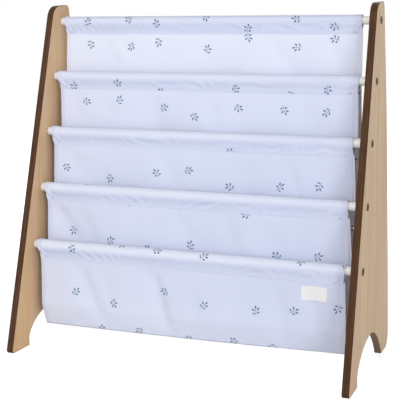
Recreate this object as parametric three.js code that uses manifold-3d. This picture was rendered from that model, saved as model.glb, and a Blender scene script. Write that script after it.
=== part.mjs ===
// A sling bookshelf for children: two tapered side panels joined by a slanting row of round rods, and one
// cloth sling that wraps each rod and hangs between them as deep pockets for books.
// Units are millimetres. X runs along the rods, -Y is the front, +Z is up, and the floor is at zero.
import * as THREE from "three";
import { mergeVertices } from "three/addons/utils/BufferGeometryUtils.js";
import Module from "manifold-3d";

const wasm = await Module();
wasm.setup();

// Side panels
const shelfWidth = 606; // over the panels' outer faces
const panelHeight = 606.5; // at the top's back corner, before it is rounded
const frontTopDrop = 4.3; // how much lower the top's front corner lies
const panelThickness = 12;
const panelFloorDepth = 297.5;
const panelTopDepth = 52.5;
const frontSetBack = 158.5; // how far the front edge leans back by the top
const backBow = 10.5; // how far the back edge bows out of a straight line
const frontTopRound = 27;
const backTopRound = 9;
const frontFootRound = 6;
const backFootRound = 22;
const edgeEase = 0.8;
const frontFootDepth = 57;
const backFootDepth = 58.5;
const archRise = 59.5;
const archStep = 14; // straight rise behind the front foot before the arch begins
const archApexShare = 0.5;
const archFrontPullShares = [0.04, 0.46]; // where the front curve's two handles stand between foot and apex
const archFrontLiftShares = [0.45, 1];
const archBackPullShares = [0.43, 0.8];
const archBackLiftShares = [1, 0.48];

// Rods and their fixings
const rodCount = 5;
const rodDiameter = 15;
const topRodDrop = 31.5;
const lowestRodHeight = 179.3;
const rodInset = 34; // square to the front edge
const rodEndChamfer = 0.6;
const seatGap = 0.3; // left where two pieces meet
const boltDiameter = 6;
const boltHoleSpare = 0.6;
const boltHeadDiameter = 13;
const boltHeadRim = 0.6; // height of the head's straight edge
const boltHeadDome = 0.8; // height of its domed top
const domeWidthShare = 0.62; // of the head's radius, where the dome turns flatter
const domeHeightShare = 0.82;
const socketAcross = 4; // hexagon key, flat to flat
const socketSides = 6;
const socketDepth = 1.4;
const insertLength = 15;
const insertWall = 1.4;
const insertBoreSpare = 3; // room past the insert's inner end
const threadEndGap = 3; // how far the bolt stops short of the insert's inner end

// Sling
const clothThickness = 1.2;
const clothLeftGap = 14; // between the cloth and the left panel
const clothRightGap = 18;
const sleeveFlare = 2; // how far the sleeve stands out past the cloth's edge at the rod
const seamDrop = 23; // from the rod's axis down to the seam
const seamForward = 5; // from the rod's axis towards the front
const seamAllowance = 5;
const floorClearance = 32.5; // under the crease of the lowest pocket
const creaseRadius = 2.6;
const creaseSetBack = 18; // of the crease behind the pocket's front layer
const bottomSag = 2; // of the crease halfway along
const bottomRise = 6.5; // how much higher the crease hangs at the right end than at the left
const taperHeight = 38; // above the crease, where the two layers close in
const taperCurve = 1.25;
const backLayerShares = [0, 0.12, 0.3, 0.5, 0.7, 0.88, 1]; // of the way from the seam down to the taper
const frontLayerShares = [1, 0.75, 0.45, 0.18, 0];
const taperShares = [0.66, 0.36, 0.14]; // of the taper's height
const seamWave = 0.8;
const foldDepth = 2.4;
const foldRunIn = 60; // below a seam, until the folds reach their full depth
const layerSpread = 1; // between two layers that hang from one seam, once they are clear of it
const broadFoldCount = 2.5; // waves across the cloth
const fineFoldCount = 4;
const broadFoldShare = 0.7;
const fineFoldShare = 0.3;
const foldTurn = 2.1; // radians by which the waves shift from one seam to the next

// Label
const labelWidth = 43.5;
const labelHeight = 24;
const labelThickness = 0.8;
const labelSideGap = 25.8; // to the cloth's right edge
const labelSeamGap = 6.5; // below the lowest seam

// How finely round shapes are drawn
const cornerSteps = 4;
const archSteps = 9;
const backEdgeSteps = 8;
const holeSides = 14;
const rodSides = 20;
const fixingSides = 14;
const sleeveArcSteps = 9;
const sleeveColumns = 8;
const creaseSteps = 4;
const pocketColumns = 15;
const labelColumns = 6;
const labelRows = 3;
const cutOverrun = 1;

const panelsClear = shelfWidth - 2 * panelThickness; // between the inner faces
const frontTopHeight = panelHeight - frontTopDrop;
const leanAngle = Math.atan(frontSetBack / frontTopHeight);
const topRodHeight = panelHeight - topRodDrop;
const rodRadius = rodDiameter / 2;
const rodLength = panelsClear - 2 * seatGap;
const threadBore = boltDiameter / 2 + seatGap;
const insertRadius = threadBore + insertWall;
const insertBore = insertRadius + seatGap;
const clothLeft = -panelsClear / 2 + clothLeftGap;
const clothRight = panelsClear / 2 - clothRightGap;
const pocketDrop = lowestRodHeight - floorClearance; // from a rod's axis down to its pocket's crease

const materials = {
  veneer: () => standard(0xc4ad94, 0.55, 0),
  paint: () => standard(0xe9e9e4, 0.4, 0),
  bronze: () => standard(0x4a3b2c, 0.42, 0.85),
  steel: () => standard(0xb9b9b4, 0.4, 0.9),
  cloth: () => standard(0xd6daf0, 0.85, 0),
  label: () => standard(0xeeebe2, 0.9, 0),
};

// A parabola over 0 to 1 that is 1 halfway.
function bulge(share) {
  return 4 * share * (1 - share);
}

function standard(color, roughness, metalness) {
  return new THREE.MeshStandardMaterial({ color, roughness, metalness });
}

// One named piece of the shelf.
function piece(name, geometry, material) {
  const mesh = new THREE.Mesh(geometry, materials[material]());
  mesh.name = name;
  return mesh;
}

// Turns an outline drawn in (Y, Z) and pushed along its own third axis so that it is pushed along X.
function standUp(geometry) {
  const turn = new THREE.Matrix4().makeBasis(
    new THREE.Vector3(0, 1, 0),
    new THREE.Vector3(0, 0, 1),
    new THREE.Vector3(1, 0, 0),
  );
  return geometry.applyMatrix4(turn);
}

// A polygon whose corners may each have a radius, as points running round it.
function roundedOutline(corners) {
  const points = [];
  corners.forEach((corner, i) => {
    const { at, round } = corner;
    if (!round) {
      points.push(at);
      return;
    }
    const before = corners[(i + corners.length - 1) % corners.length].at;
    const after = corners[(i + 1) % corners.length].at;
    const inward = before.clone().sub(at).normalize();
    const outward = after.clone().sub(at).normalize();
    const half = Math.acos(inward.dot(outward)) / 2;
    const reach = round / Math.tan(half);
    const bisector = inward.clone().add(outward).normalize();
    const centre = at.clone().addScaledVector(bisector, round / Math.sin(half));
    const start = at.clone().addScaledVector(inward, reach).sub(centre);
    const end = at.clone().addScaledVector(outward, reach).sub(centre);
    const turn = Math.atan2(start.cross(end), start.dot(end));
    for (let step = 0; step <= cornerSteps; step += 1) {
      const spin = (turn * step) / cornerSteps;
      const spoke = start.clone().rotateAround(new THREE.Vector2(), spin);
      points.push(spoke.add(centre));
    }
  });
  return points;
}

// The arch between the two feet: a short straight rise, a steep front curve and a longer back curve.
function archPoints() {
  const front = frontFootDepth;
  const back = panelFloorDepth - backFootDepth;
  const apex = new THREE.Vector2(THREE.MathUtils.lerp(front, back, archApexShare), archRise);
  const spring = new THREE.Vector2(front, archStep);
  const landing = new THREE.Vector2(back, 0);
  const frontCurve = handledCurve(spring, apex, archFrontPullShares, archFrontLiftShares);
  const backCurve = handledCurve(apex, landing, archBackPullShares, archBackLiftShares);
  return [
    new THREE.Vector2(front, 0),
    ...frontCurve.getPoints(archSteps),
    ...backCurve.getPoints(archSteps).slice(1),
  ];
}

// A cubic curve whose two handles stand at shares of the way along and up, the larger height counting as 1.
function handledCurve(start, end, pulls, lifts) {
  const low = Math.min(start.y, end.y);
  const rise = Math.max(start.y, end.y) - low;
  const handle = (i) =>
    new THREE.Vector2(THREE.MathUtils.lerp(start.x, end.x, pulls[i]), low + rise * lifts[i]);
  return new THREE.CubicBezierCurve(start, handle(0), handle(1), end);
}

// The back edge from the floor to the top, with its gentle bow.
function backEdgePoint(share) {
  const straight = THREE.MathUtils.lerp(panelFloorDepth, frontSetBack + panelTopDepth, share);
  return new THREE.Vector2(straight + backBow * bulge(share), panelHeight * share);
}

// The panel's outline in (Y, Z), counted from the foot of its front edge.
function panelOutline() {
  const corners = [{ at: new THREE.Vector2(0, 0), round: frontFootRound }];
  archPoints().forEach((at) => corners.push({ at }));
  for (let step = 0; step <= backEdgeSteps; step += 1) {
    const first = step === 0;
    const last = step === backEdgeSteps;
    const round = (first && backFootRound) || (last && backTopRound) || 0;
    corners.push({ at: backEdgePoint(step / backEdgeSteps), round });
  }
  corners.push({ at: new THREE.Vector2(frontSetBack, frontTopHeight), round: frontTopRound });
  return roundedOutline(corners);
}

const outline = panelOutline();
const outlineDepths = outline.map((point) => point.x);
// The part's own origin is below the middle of the panels' depth.
const middleDepth = (Math.min(...outlineDepths) + Math.max(...outlineDepths)) / 2;

// Where a rod's axis crosses the panels, in (Y, Z) from the foot of the front edge.
function rodAxis(index) {
  const height = THREE.MathUtils.lerp(topRodHeight, lowestRodHeight, index / (rodCount - 1));
  const frontEdge = height * Math.tan(leanAngle);
  return new THREE.Vector2(frontEdge + rodInset / Math.cos(leanAngle), height);
}

// A side panel, cut to its outline with a clearance hole for each bolt.
function panelGeometry() {
  const shape = new THREE.Shape(outline);
  for (let index = 0; index < rodCount; index += 1) {
    const axis = rodAxis(index);
    const hole = new THREE.Path();
    hole.absarc(axis.x, axis.y, (boltDiameter + boltHoleSpare) / 2, 0, 2 * Math.PI, true);
    shape.holes.push(new THREE.Path(hole.getPoints(holeSides).slice(0, -1)));
  }
  const geometry = new THREE.ExtrudeGeometry(shape, {
    depth: panelThickness - 2 * edgeEase,
    bevelThickness: edgeEase,
    bevelSize: edgeEase,
    bevelOffset: -edgeEase,
    bevelSegments: 1,
  });
  geometry.translate(0, 0, edgeEase);
  return standUp(geometry);
}

// A solid turned about the X axis from a profile of [along X, radius] pairs.
function turned(profile, sides) {
  const points = profile.map(([along, radius]) => new THREE.Vector2(radius, along));
  return new THREE.LatheGeometry(points, sides).rotateZ(-Math.PI / 2);
}

// A painted rod with a blind bore in each end for its threaded insert.
function rodGeometry() {
  const end = rodLength / 2;
  const boreEnd = end - insertLength - insertBoreSpare;
  const half = [
    [boreEnd, 0],
    [boreEnd, insertBore],
    [end, insertBore],
    [end, rodRadius - rodEndChamfer],
    [end - rodEndChamfer, rodRadius],
  ];
  const mirrored = half.map(([along, radius]) => [-along, radius]).reverse();
  return turned([...half, ...mirrored].reverse(), rodSides);
}

// A threaded metal sleeve for one end of a rod.
function insertGeometry() {
  const profile = [
    [0, threadBore],
    [insertLength, threadBore],
    [insertLength, insertRadius],
    [0, insertRadius],
    [0, threadBore],
  ];
  return turned(profile.reverse(), fixingSides);
}

// A closed geometry as a solid that can be cut.
function solidOf(geometry) {
  geometry.deleteAttribute("normal");
  geometry.deleteAttribute("uv");
  const merged = mergeVertices(geometry);
  return new wasm.Manifold(
    new wasm.Mesh({
      numProp: 3,
      vertProperties: merged.attributes.position.array,
      triVerts: new Uint32Array(merged.index.array),
    }),
  );
}

function geometryOf(solid) {
  const mesh = solid.getMesh();
  const geometry = new THREE.BufferGeometry();
  geometry.setAttribute("position", new THREE.BufferAttribute(mesh.vertProperties, 3));
  geometry.setIndex(new THREE.BufferAttribute(mesh.triVerts, 1));
  const flat = geometry.toNonIndexed();
  flat.computeVertexNormals();
  return flat;
}

// A round-headed bolt that points along -X, its head's flat underside at the origin, with a hexagon socket.
function boltGeometry() {
  const reach = panelThickness + 2 * seatGap + insertLength - threadEndGap;
  const radius = boltHeadDiameter / 2;
  const shank = boltDiameter / 2;
  const headHeight = boltHeadRim + boltHeadDome;
  const profile = [
    [-reach, 0],
    [-reach, shank],
    [0, shank],
    [0, radius],
    [boltHeadRim, radius],
    [boltHeadRim + boltHeadDome * domeHeightShare, radius * domeWidthShare],
    [headHeight, 0],
  ];
  const body = solidOf(turned(profile, fixingSides));
  const corner = socketAcross / (2 * Math.cos(Math.PI / socketSides));
  const socket = new THREE.CylinderGeometry(corner, corner, socketDepth + cutOverrun, socketSides);
  socket.rotateZ(-Math.PI / 2);
  socket.translate(headHeight - (socketDepth - cutOverrun) / 2, 0, 0);
  return geometryOf(body.subtract(solidOf(socket)));
}

// Joins a grid of rings into one closed solid. Each ring is a closed loop of points, and the rings follow
// one another along the piece, whose two ends are closed by the given faces.
function loftedSolid(rings, endFaces) {
  const count = rings[0].length;
  const index = [];
  for (let r = 0; r + 1 < rings.length; r += 1) {
    for (let i = 0; i < count; i += 1) {
      const a = r * count + i;
      const b = r * count + ((i + 1) % count);
      index.push(a, b, a + count, b, b + count, a + count);
    }
  }
  const last = (rings.length - 1) * count;
  endFaces.forEach(([a, b, c]) => {
    index.push(a, c, b);
    index.push(last + a, last + b, last + c);
  });
  const geometry = new THREE.BufferGeometry().setFromPoints(rings.flat());
  geometry.setIndex(index);
  const flat = geometry.toNonIndexed();
  flat.computeVertexNormals();
  return flat;
}

// A strip of sheet between two places along X. route(share) gives the points of its middle line in (Y, Z) at
// a share of its width, and the strip has its thickness square to that line.
function stripGeometry(route, columns, left, right, thickness) {
  const rings = [];
  for (let column = 0; column <= columns; column += 1) {
    const share = column / columns;
    const x = THREE.MathUtils.lerp(left, right, share);
    const line = route(share);
    const outer = [];
    const inner = [];
    line.forEach((point, i) => {
      const before = line[Math.max(i - 1, 0)];
      const after = line[Math.min(i + 1, line.length - 1)];
      const along = after.clone().sub(before).normalize();
      const square = new THREE.Vector2(along.y, -along.x).multiplyScalar(thickness / 2);
      outer.push(new THREE.Vector3(x, point.x + square.x, point.y + square.y));
      inner.push(new THREE.Vector3(x, point.x - square.x, point.y - square.y));
    });
    rings.push([...outer, ...inner.reverse()]);
  }
  const count = rings[0].length;
  const faces = [];
  for (let i = 0; i + 1 < count / 2; i += 1) {
    faces.push([i, i + 1, count - 1 - i], [i + 1, count - 2 - i, count - 1 - i]);
  }
  return loftedSolid(rings, faces);
}

// The soft waves across the cloth below seam number index, as a shift of the cloth towards the back.
function foldShift(index, share) {
  const phase = index * foldTurn;
  const broad = Math.sin(2 * Math.PI * broadFoldCount * share + phase);
  const fine = Math.sin(2 * Math.PI * fineFoldCount * share + 2 * phase);
  return broadFoldShare * broad + fineFoldShare * fine;
}

// A teardrop loop round a rod: an arc of the given radius, and two straight sides to the seam below.
function teardrop(radius, tipHeight, tipHalf, shift) {
  const side = (sign) => {
    const tip = new THREE.Vector2(-seamForward + shift + sign * tipHalf, tipHeight);
    const swing = Math.acos(radius / tip.length());
    return { tip, angle: Math.atan2(tip.y, tip.x) + sign * swing };
  };
  const back = side(1);
  const front = side(-1);
  const start = back.angle;
  const sweep = front.angle + 2 * Math.PI - start;
  const loop = [back.tip];
  for (let step = 0; step <= sleeveArcSteps; step += 1) {
    const angle = start + (sweep * step) / sleeveArcSteps;
    loop.push(new THREE.Vector2(radius * Math.cos(angle), radius * Math.sin(angle)));
  }
  loop.push(front.tip);
  return loop;
}

// The sewn tunnel of cloth round one rod. Its two layers meet at the seam below the rod.
function sleeveGeometry(index) {
  const axis = rodAxis(index);
  const innerRadius = rodRadius + seatGap;
  const rings = [];
  for (let column = 0; column <= sleeveColumns; column += 1) {
    const share = column / sleeveColumns;
    const shift = seamWave * foldShift(index, share);
    const outer = teardrop(innerRadius + clothThickness, -seamDrop, clothThickness, shift);
    const inner = teardrop(innerRadius, -seamDrop + seamAllowance, seatGap / 2, shift);
    const place = (point) => {
      const drop = THREE.MathUtils.clamp(-point.y / seamDrop, 0, 1);
      const flare = sleeveFlare * (1 - drop);
      const x = THREE.MathUtils.lerp(clothLeft - flare, clothRight + flare, share);
      return new THREE.Vector3(x, axis.x + point.x, axis.y + point.y);
    };
    rings.push([...outer, ...inner.reverse()].map(place));
  }
  return tubeLoft(rings);
}

// A lofted tube: each ring holds its outer loop and then its inner loop backwards.
function tubeLoft(rings) {
  const half = rings[0].length / 2;
  const total = rings[0].length;
  const index = [];
  const ring = (r) => r * total;
  const outerAt = (i) => i % half;
  const innerAt = (i) => total - 1 - (i % half);
  for (let r = 0; r + 1 < rings.length; r += 1) {
    for (let i = 0; i < half; i += 1) {
      const [a, b] = [ring(r) + outerAt(i), ring(r) + outerAt(i + 1)];
      index.push(a, b, a + total, b, b + total, a + total);
      const [c, d] = [ring(r) + innerAt(i), ring(r) + innerAt(i + 1)];
      index.push(c, c + total, d, d, c + total, d + total);
    }
  }
  const last = ring(rings.length - 1);
  for (let i = 0; i < half; i += 1) {
    const [a, b, c, d] = [outerAt(i), outerAt(i + 1), innerAt(i), innerAt(i + 1)];
    index.push(a, c, b, b, c, d);
    index.push(last + a, last + b, last + c, last + b, last + d, last + c);
  }
  const geometry = new THREE.BufferGeometry().setFromPoints(rings.flat());
  geometry.setIndex(index);
  const flat = geometry.toNonIndexed();
  flat.computeVertexNormals();
  return flat;
}

// Half the distance between the middles of the two layers that meet at a seam.
const layerOffset = (clothThickness + seatGap) / 2;

// A layer of cloth that hangs from seam number index: its place in Y at a height and a share of its width.
// side is -1 for the layer on the seam's front and 1 for the one behind it.
function layerDepth(index, side, height, share) {
  const axis = rodAxis(index);
  const top = axis.y - seamDrop - seatGap;
  const run = Math.min((top - height) / foldRunIn, 1);
  const spread = side > 0 ? layerSpread * run : 0;
  const wave = THREE.MathUtils.lerp(seamWave, foldDepth, run) * foldShift(index, share);
  return axis.x - seamForward + side * layerOffset + spread + wave;
}

// A pocket's cloth, from the seam of rod number index down behind the next rod, round the bottom crease and
// up to the seam of that next rod.
function pocketRoute(index, share) {
  const upper = rodAxis(index);
  const lower = rodAxis(index + 1);
  const creaseZ = lower.y - pocketDrop - bottomSag * bulge(share) + bottomRise * share;
  const creaseY = lower.x - seamForward + layerOffset + creaseSetBack;
  const taperZ = creaseZ + creaseRadius + taperHeight;
  const layer = (seam, side, top, heightShares) =>
    heightShares.map((down) => {
      const height = THREE.MathUtils.lerp(top, taperZ, down);
      return new THREE.Vector2(layerDepth(seam, side, height, share), height);
    });
  const taper = (seam, side, creaseSide) =>
    taperShares.map((up) => {
      const height = THREE.MathUtils.lerp(creaseZ + creaseRadius, taperZ, up);
      const loose = layerDepth(seam, side, height, share);
      const tight = creaseY + creaseSide * creaseRadius;
      return new THREE.Vector2(THREE.MathUtils.lerp(loose, tight, Math.pow(1 - up, taperCurve)), height);
    });
  const crease = [];
  for (let step = 0; step <= creaseSteps; step += 1) {
    const angle = (Math.PI * step) / creaseSteps;
    const y = creaseY + creaseRadius * Math.cos(angle);
    crease.push(new THREE.Vector2(y, creaseZ + creaseRadius * (1 - Math.sin(angle))));
  }
  const belowSeam = seamDrop + seatGap;
  return [
    ...layer(index, -1, upper.y - belowSeam, backLayerShares),
    ...taper(index, -1, 1),
    ...crease,
    ...taper(index + 1, 1, -1).reverse(),
    ...layer(index + 1, 1, lower.y - belowSeam, frontLayerShares),
  ];
}

function pocketGeometry(index) {
  const route = (share) => pocketRoute(index, share);
  return stripGeometry(route, pocketColumns, clothLeft, clothRight, clothThickness);
}

// The small sewn label on the front of the lowest pocket. It lies on the flat stretches between that
// pocket's columns.
function labelGeometry() {
  const lowest = rodCount - 1;
  const right = clothRight - labelSideGap;
  const left = right - labelWidth;
  const top = rodAxis(lowest).y - seamDrop - labelSeamGap;
  const clothFront = (x, height) => {
    const column = (pocketColumns * (x - clothLeft)) / (clothRight - clothLeft);
    const before = Math.floor(column);
    const [near, far] = [before, before + 1].map((at) => layerDepth(lowest, 1, height, at / pocketColumns));
    return THREE.MathUtils.lerp(near, far, column - before) - clothThickness / 2;
  };
  const route = (share) => {
    const x = THREE.MathUtils.lerp(left, right, share);
    const points = [];
    for (let row = 0; row <= labelRows; row += 1) {
      const height = top - (labelHeight * row) / labelRows;
      points.push(new THREE.Vector2(clothFront(x, height) - seatGap - labelThickness / 2, height));
    }
    return points;
  };
  return stripGeometry(route, labelColumns, left, right, labelThickness);
}

// The bolt and the threaded insert at both ends of one rod.
function fixings(index) {
  const axis = rodAxis(index);
  const pieces = [];
  [-1, 1].forEach((side) => {
    const hand = side < 0 ? "left" : "right";
    const bolt = piece(`bolt_${hand}_${index + 1}`, boltGeometry(), "bronze");
    const insert = piece(`insert_${hand}_${index + 1}`, insertGeometry(), "steel");
    const fixing = new THREE.Group();
    bolt.position.x = panelsClear / 2 + panelThickness + seatGap;
    insert.position.x = rodLength / 2 - insertLength;
    fixing.add(bolt, insert);
    fixing.rotation.z = side < 0 ? Math.PI : 0;
    fixing.position.set(0, axis.x, axis.y);
    pieces.push(fixing);
  });
  return pieces;
}

const shelf = new THREE.Group();
shelf.position.y = -middleDepth;

const leftPanel = piece("side_panel_left", panelGeometry(), "veneer");
leftPanel.position.x = -panelsClear / 2 - panelThickness;
const rightPanel = piece("side_panel_right", panelGeometry(), "veneer");
rightPanel.position.x = panelsClear / 2;
shelf.add(leftPanel, rightPanel);

for (let index = 0; index < rodCount; index += 1) {
  const axis = rodAxis(index);
  const rod = piece(`rod_${index + 1}`, rodGeometry(), "paint");
  rod.position.set(0, axis.x, axis.y);
  shelf.add(rod, ...fixings(index));
  shelf.add(piece(`sleeve_${index + 1}`, sleeveGeometry(index), "cloth"));
}

for (let index = 0; index + 1 < rodCount; index += 1) {
  shelf.add(piece(`pocket_${index + 1}`, pocketGeometry(index), "cloth"));
}

shelf.add(piece("label", labelGeometry(), "label"));

export default shelf;
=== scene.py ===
# %% [markdown]
# # A sling bookshelf for a child's room
# Two tapered boards stand on the floor, five painted rods join them in a slanting row, and one printed
# cloth is sewn round every rod, so that it hangs between them as deep pockets for books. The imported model
# is loaded first. It says where every piece lies, and all that is made below is fitted to it.

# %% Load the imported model
import math

import bpy
import numpy as np
from mathutils import Matrix, Vector
from mathutils.geometry import tessellate_polygon


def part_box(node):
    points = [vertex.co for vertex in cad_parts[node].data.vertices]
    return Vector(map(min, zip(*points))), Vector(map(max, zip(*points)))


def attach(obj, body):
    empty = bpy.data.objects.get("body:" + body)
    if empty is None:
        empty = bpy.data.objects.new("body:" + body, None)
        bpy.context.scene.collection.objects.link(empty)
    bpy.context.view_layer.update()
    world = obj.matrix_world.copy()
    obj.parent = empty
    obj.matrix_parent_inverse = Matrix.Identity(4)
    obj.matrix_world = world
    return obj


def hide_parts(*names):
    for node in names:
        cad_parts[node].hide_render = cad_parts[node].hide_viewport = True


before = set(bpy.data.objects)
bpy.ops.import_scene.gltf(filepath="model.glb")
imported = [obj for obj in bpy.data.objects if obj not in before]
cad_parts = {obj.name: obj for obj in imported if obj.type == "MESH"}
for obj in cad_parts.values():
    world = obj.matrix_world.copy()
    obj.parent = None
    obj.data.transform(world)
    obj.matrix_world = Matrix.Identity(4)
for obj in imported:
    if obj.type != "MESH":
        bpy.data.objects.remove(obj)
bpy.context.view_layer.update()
print("nodes in the model:", len(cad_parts))

# %% [markdown]
# ## The camera
# A camera can be placed by eye until the picture looks right. Here its place and turn were worked out
# from the shelf's straight edges, so the picture's own frame is kept: the line of sight meets it above
# its middle, which the lens shift says.

# %% Camera
PICTURE_SIDE = 400  # pixels, across and down
FOCAL_PIXELS = 978.2
SIGHT_PIXEL = (220.3, 140.0)  # where the line of sight meets the picture
CAMERA_PLACE = (0.6334, -1.5568, 0.5422)
YAW, PITCH, ROLL = 0.3659, 0.1020, 0.0024  # radians
SENSOR_WIDTH = 36.0  # millimetres, Blender's usual one


def camera_turn(yaw, pitch, roll):
    """The camera's axes as a matrix: right, up and backwards."""
    ahead = Vector((-math.sin(yaw) * math.cos(pitch), math.cos(yaw) * math.cos(pitch), -math.sin(pitch)))
    level = Vector((math.cos(yaw), math.sin(yaw), 0))
    right = level * math.cos(roll) + level.cross(ahead) * math.sin(roll)
    return Matrix((right, right.cross(ahead), -ahead)).transposed()


lens = bpy.data.cameras.new("camera")
lens.sensor_width = SENSOR_WIDTH
lens.lens = FOCAL_PIXELS / PICTURE_SIDE * SENSOR_WIDTH
lens.shift_x = 0.5 - SIGHT_PIXEL[0] / PICTURE_SIDE
lens.shift_y = SIGHT_PIXEL[1] / PICTURE_SIDE - 0.5
camera = bpy.data.objects.new("camera", lens)
camera.matrix_world = Matrix.Translation(CAMERA_PLACE) @ camera_turn(YAW, PITCH, ROLL).to_4x4()
bpy.context.scene.collection.objects.link(camera)
bpy.context.scene.camera = camera
print(f"lens {lens.lens:.1f} mm, shift {lens.shift_x:.3f} {lens.shift_y:.3f}")

# %% [markdown]
# ## Shader maths that reads like Python
# A material is a net of nodes, and each sum in it is a node of its own. Linking them one by one hides the
# idea, so a small class wraps an output socket and lets Python's own signs make the Math nodes. Vectors
# take Vector Math and colours take Mix instead, because a Math node would turn them grey.

# %% Sums of sockets


class Wire:
    """An output socket of a node, for use in sums."""

    def __init__(self, shade, socket):
        self.shade = shade
        self.socket = socket

    def __add__(self, other):
        return self.shade.maths("ADD", self, other)

    def __sub__(self, other):
        return self.shade.maths("SUBTRACT", self, other)

    def __rsub__(self, other):
        return self.shade.maths("SUBTRACT", other, self)

    def __mul__(self, other):
        return self.shade.maths("MULTIPLY", self, other)

    def __truediv__(self, other):
        return self.shade.maths("DIVIDE", self, other)

    def __rtruediv__(self, other):
        return self.shade.maths("DIVIDE", other, self)

    __radd__ = __add__
    __rmul__ = __mul__


print("a socket in a Wire takes the signs + - * /")

# %% [markdown]
# Every node comes from one method. A node's settings come first, because they can change the sockets that
# it has, and then the values or links of those sockets. The kinds that are needed often have short names,
# and each material ends with a Principled surface.

# %% Shader helpers


class Shade:
    """The nodes of a material, or of the world, that is being made."""

    def __init__(self, owner):
        owner.use_nodes = True
        self.owner = owner
        self.tree = owner.node_tree
        self.tree.nodes.clear()

    def node(self, kind, settings=None, inputs=None, output=0):
        """Adds a node: its settings come first, then the values or links of its sockets."""
        made = self.tree.nodes.new("ShaderNode" + kind)
        for name, value in (settings or {}).items():
            setattr(made, name, value)
        for name, value in (inputs or {}).items():
            socket = made.inputs[name]
            if isinstance(value, Wire):
                self.tree.links.new(value.socket, socket)
            else:
                socket.default_value = (*value, 1) if socket.type == "RGBA" else value
        return Wire(self, made.outputs[output]) if made.outputs else None

    def maths(self, operation, *values):
        """One sum of numbers, or of vectors where any of the values is one."""
        kinds = [v.socket.type if isinstance(v, Wire) else type(v).__name__ for v in values]
        is_vector = "VECTOR" in kinds or "tuple" in kinds
        if is_vector:
            values = [(v, v, v) if isinstance(v, (int, float)) else v for v in values]
        kind = "VectorMath" if is_vector else "Math"
        return self.node(kind, {"operation": operation}, dict(enumerate(values)))

    def noise(self, place, scale, detail=3.0, roughness=0.5):
        """Soft blotches: about as many in a metre as the scale says."""
        inputs = {"Vector": place, "Scale": scale, "Detail": detail, "Roughness": roughness}
        return self.node("TexNoise", {}, inputs)

    def ease(self, value, low, high, start=0.0, end=1.0):
        """Goes softly from start to end while value goes from low to high."""
        inputs = {"Value": value, "From Min": low, "From Max": high, "To Min": start, "To Max": end}
        return self.node("MapRange", {"interpolation_type": "SMOOTHSTEP"}, inputs)

    def mix(self, share, first, second):
        """Mixes two colours: the second one counts by its share."""
        return self.node("Mix", {"data_type": "RGBA"}, {0: share, 6: first, 7: second}, 2)

    def stain(self, colour, mask, low, high, strength, tone):
        """Lays a tone over a colour: none where the mask is under low, and its full strength over high."""
        return self.mix(self.ease(mask, low, high) * strength, colour, tone)

    def axis(self, vector, number):
        return self.node("SeparateXYZ", {}, {0: vector}, number)

    def length(self, vector):
        return self.node("VectorMath", {"operation": "LENGTH"}, {0: vector}, "Value")

    def place(self):
        return self.node("TexCoord", {}, {}, "Object")

    def carried(self, attribute, output="Fac"):
        """What the mesh carries at its points under this name."""
        return self.node("Attribute", {"attribute_name": attribute}, {}, output)

    def bump(self, height, distance):
        return self.node("Bump", {}, {"Height": height, "Distance": distance})

    def show(self, surface, output="OutputMaterial"):
        self.node(output, {}, {"Surface": surface})
        return self.owner

    def finish(self, base_color, roughness, normal, others=None):
        """Ends with a Principled surface. The other sockets go by their own names."""
        inputs = {"Base Color": base_color, "Roughness": roughness, "Normal": normal, **(others or {})}
        return self.show(self.node("BsdfPrincipled", {}, inputs))


def new_shade(name):
    return Shade(bpy.data.materials.new(name))


print("shader helpers are ready")

# %% [markdown]
# ## Veneer on the boards' faces
# The faces are a pale wood veneer whose grain runs up the board: broad bands a finger wide, fine streaks,
# and short dark pores. An image would do that, but it repeats and has one size. Noise that is stretched
# along the grain gives all three at their real widths, and the same noise drives the gloss and the bump.

# %% Veneer
BANDS, BLUSHES, STREAKS, PORES = 70.0, 34.0, 520.0, 1500.0  # in a metre across the grain
GRAIN_SWAY = 0.02  # metres that the grain wanders to the side
VENEERS = {  # where in the noise the grain is taken, and its pale, tan and blush tones
    "left": (0.37, (0.76, 0.535, 0.33), (0.735, 0.475, 0.24), (0.75, 0.49, 0.295)),
    "right": (0.0, (0.82, 0.615, 0.405), (0.74, 0.535, 0.335), (0.775, 0.525, 0.38)),
}


def darker(colour, share):
    return tuple(channel * share for channel in colour)


def veneer(name, start, pale, tan, blush):
    shade = new_shade(name)
    place = shade.place() + (start, start, start)
    sway = shade.noise(place * (1.0, 1.0, 0.5), 5.0, 1.0) * GRAIN_SWAY
    grain = place + shade.node("CombineXYZ", {}, {0: sway, 1: sway})
    bands = shade.noise(grain * (1.0, 1.0, 0.03), BANDS, 2.0)
    blushes = shade.noise(grain * (1.0, 1.0, 0.02) + (3.0, 1.0, 2.0), BLUSHES, 1.0)
    streaks = shade.noise(grain * (1.0, 1.0, 0.012), STREAKS, 4.0, 0.65)
    pores = shade.noise(grain * (1.0, 1.0, 0.03), PORES, 2.0)
    colour = shade.stain(pale, bands, 0.38, 0.62, 1.0, tan)
    colour = shade.stain(colour, blushes, 0.48, 0.60, 0.8, blush)
    colour = shade.stain(colour, streaks, 0.35, 0.7, 0.28, darker(tan, 0.72))
    colour = shade.stain(colour, pores, 0.58, 0.74, 0.22, darker(tan, 0.45))
    normal = shade.bump(streaks - shade.ease(pores, 0.56, 0.7) * 0.6, 0.00012)
    return shade.finish(colour, 0.46 + streaks * 0.16, normal, {"Specular IOR Level": 0.22})


veneers = {hand: veneer(f"veneer_{hand}", *values) for hand, values in VENEERS.items()}
print("veneers:", [material.name for material in veneers.values()])

# %% [markdown]
# ## Dark bands round the boards' edges
# The sawn edges are covered by a thin dark wooden band, and its streaks follow the edge round every
# curve. Object coordinates can't follow a curve, so the board's mesh carries its own length along the
# edge as an attribute, and the noise is stretched along that. A second attribute marks the arch and the
# back edge, which have no band: their bare wood is only sealed, and is a paler brown.

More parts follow.
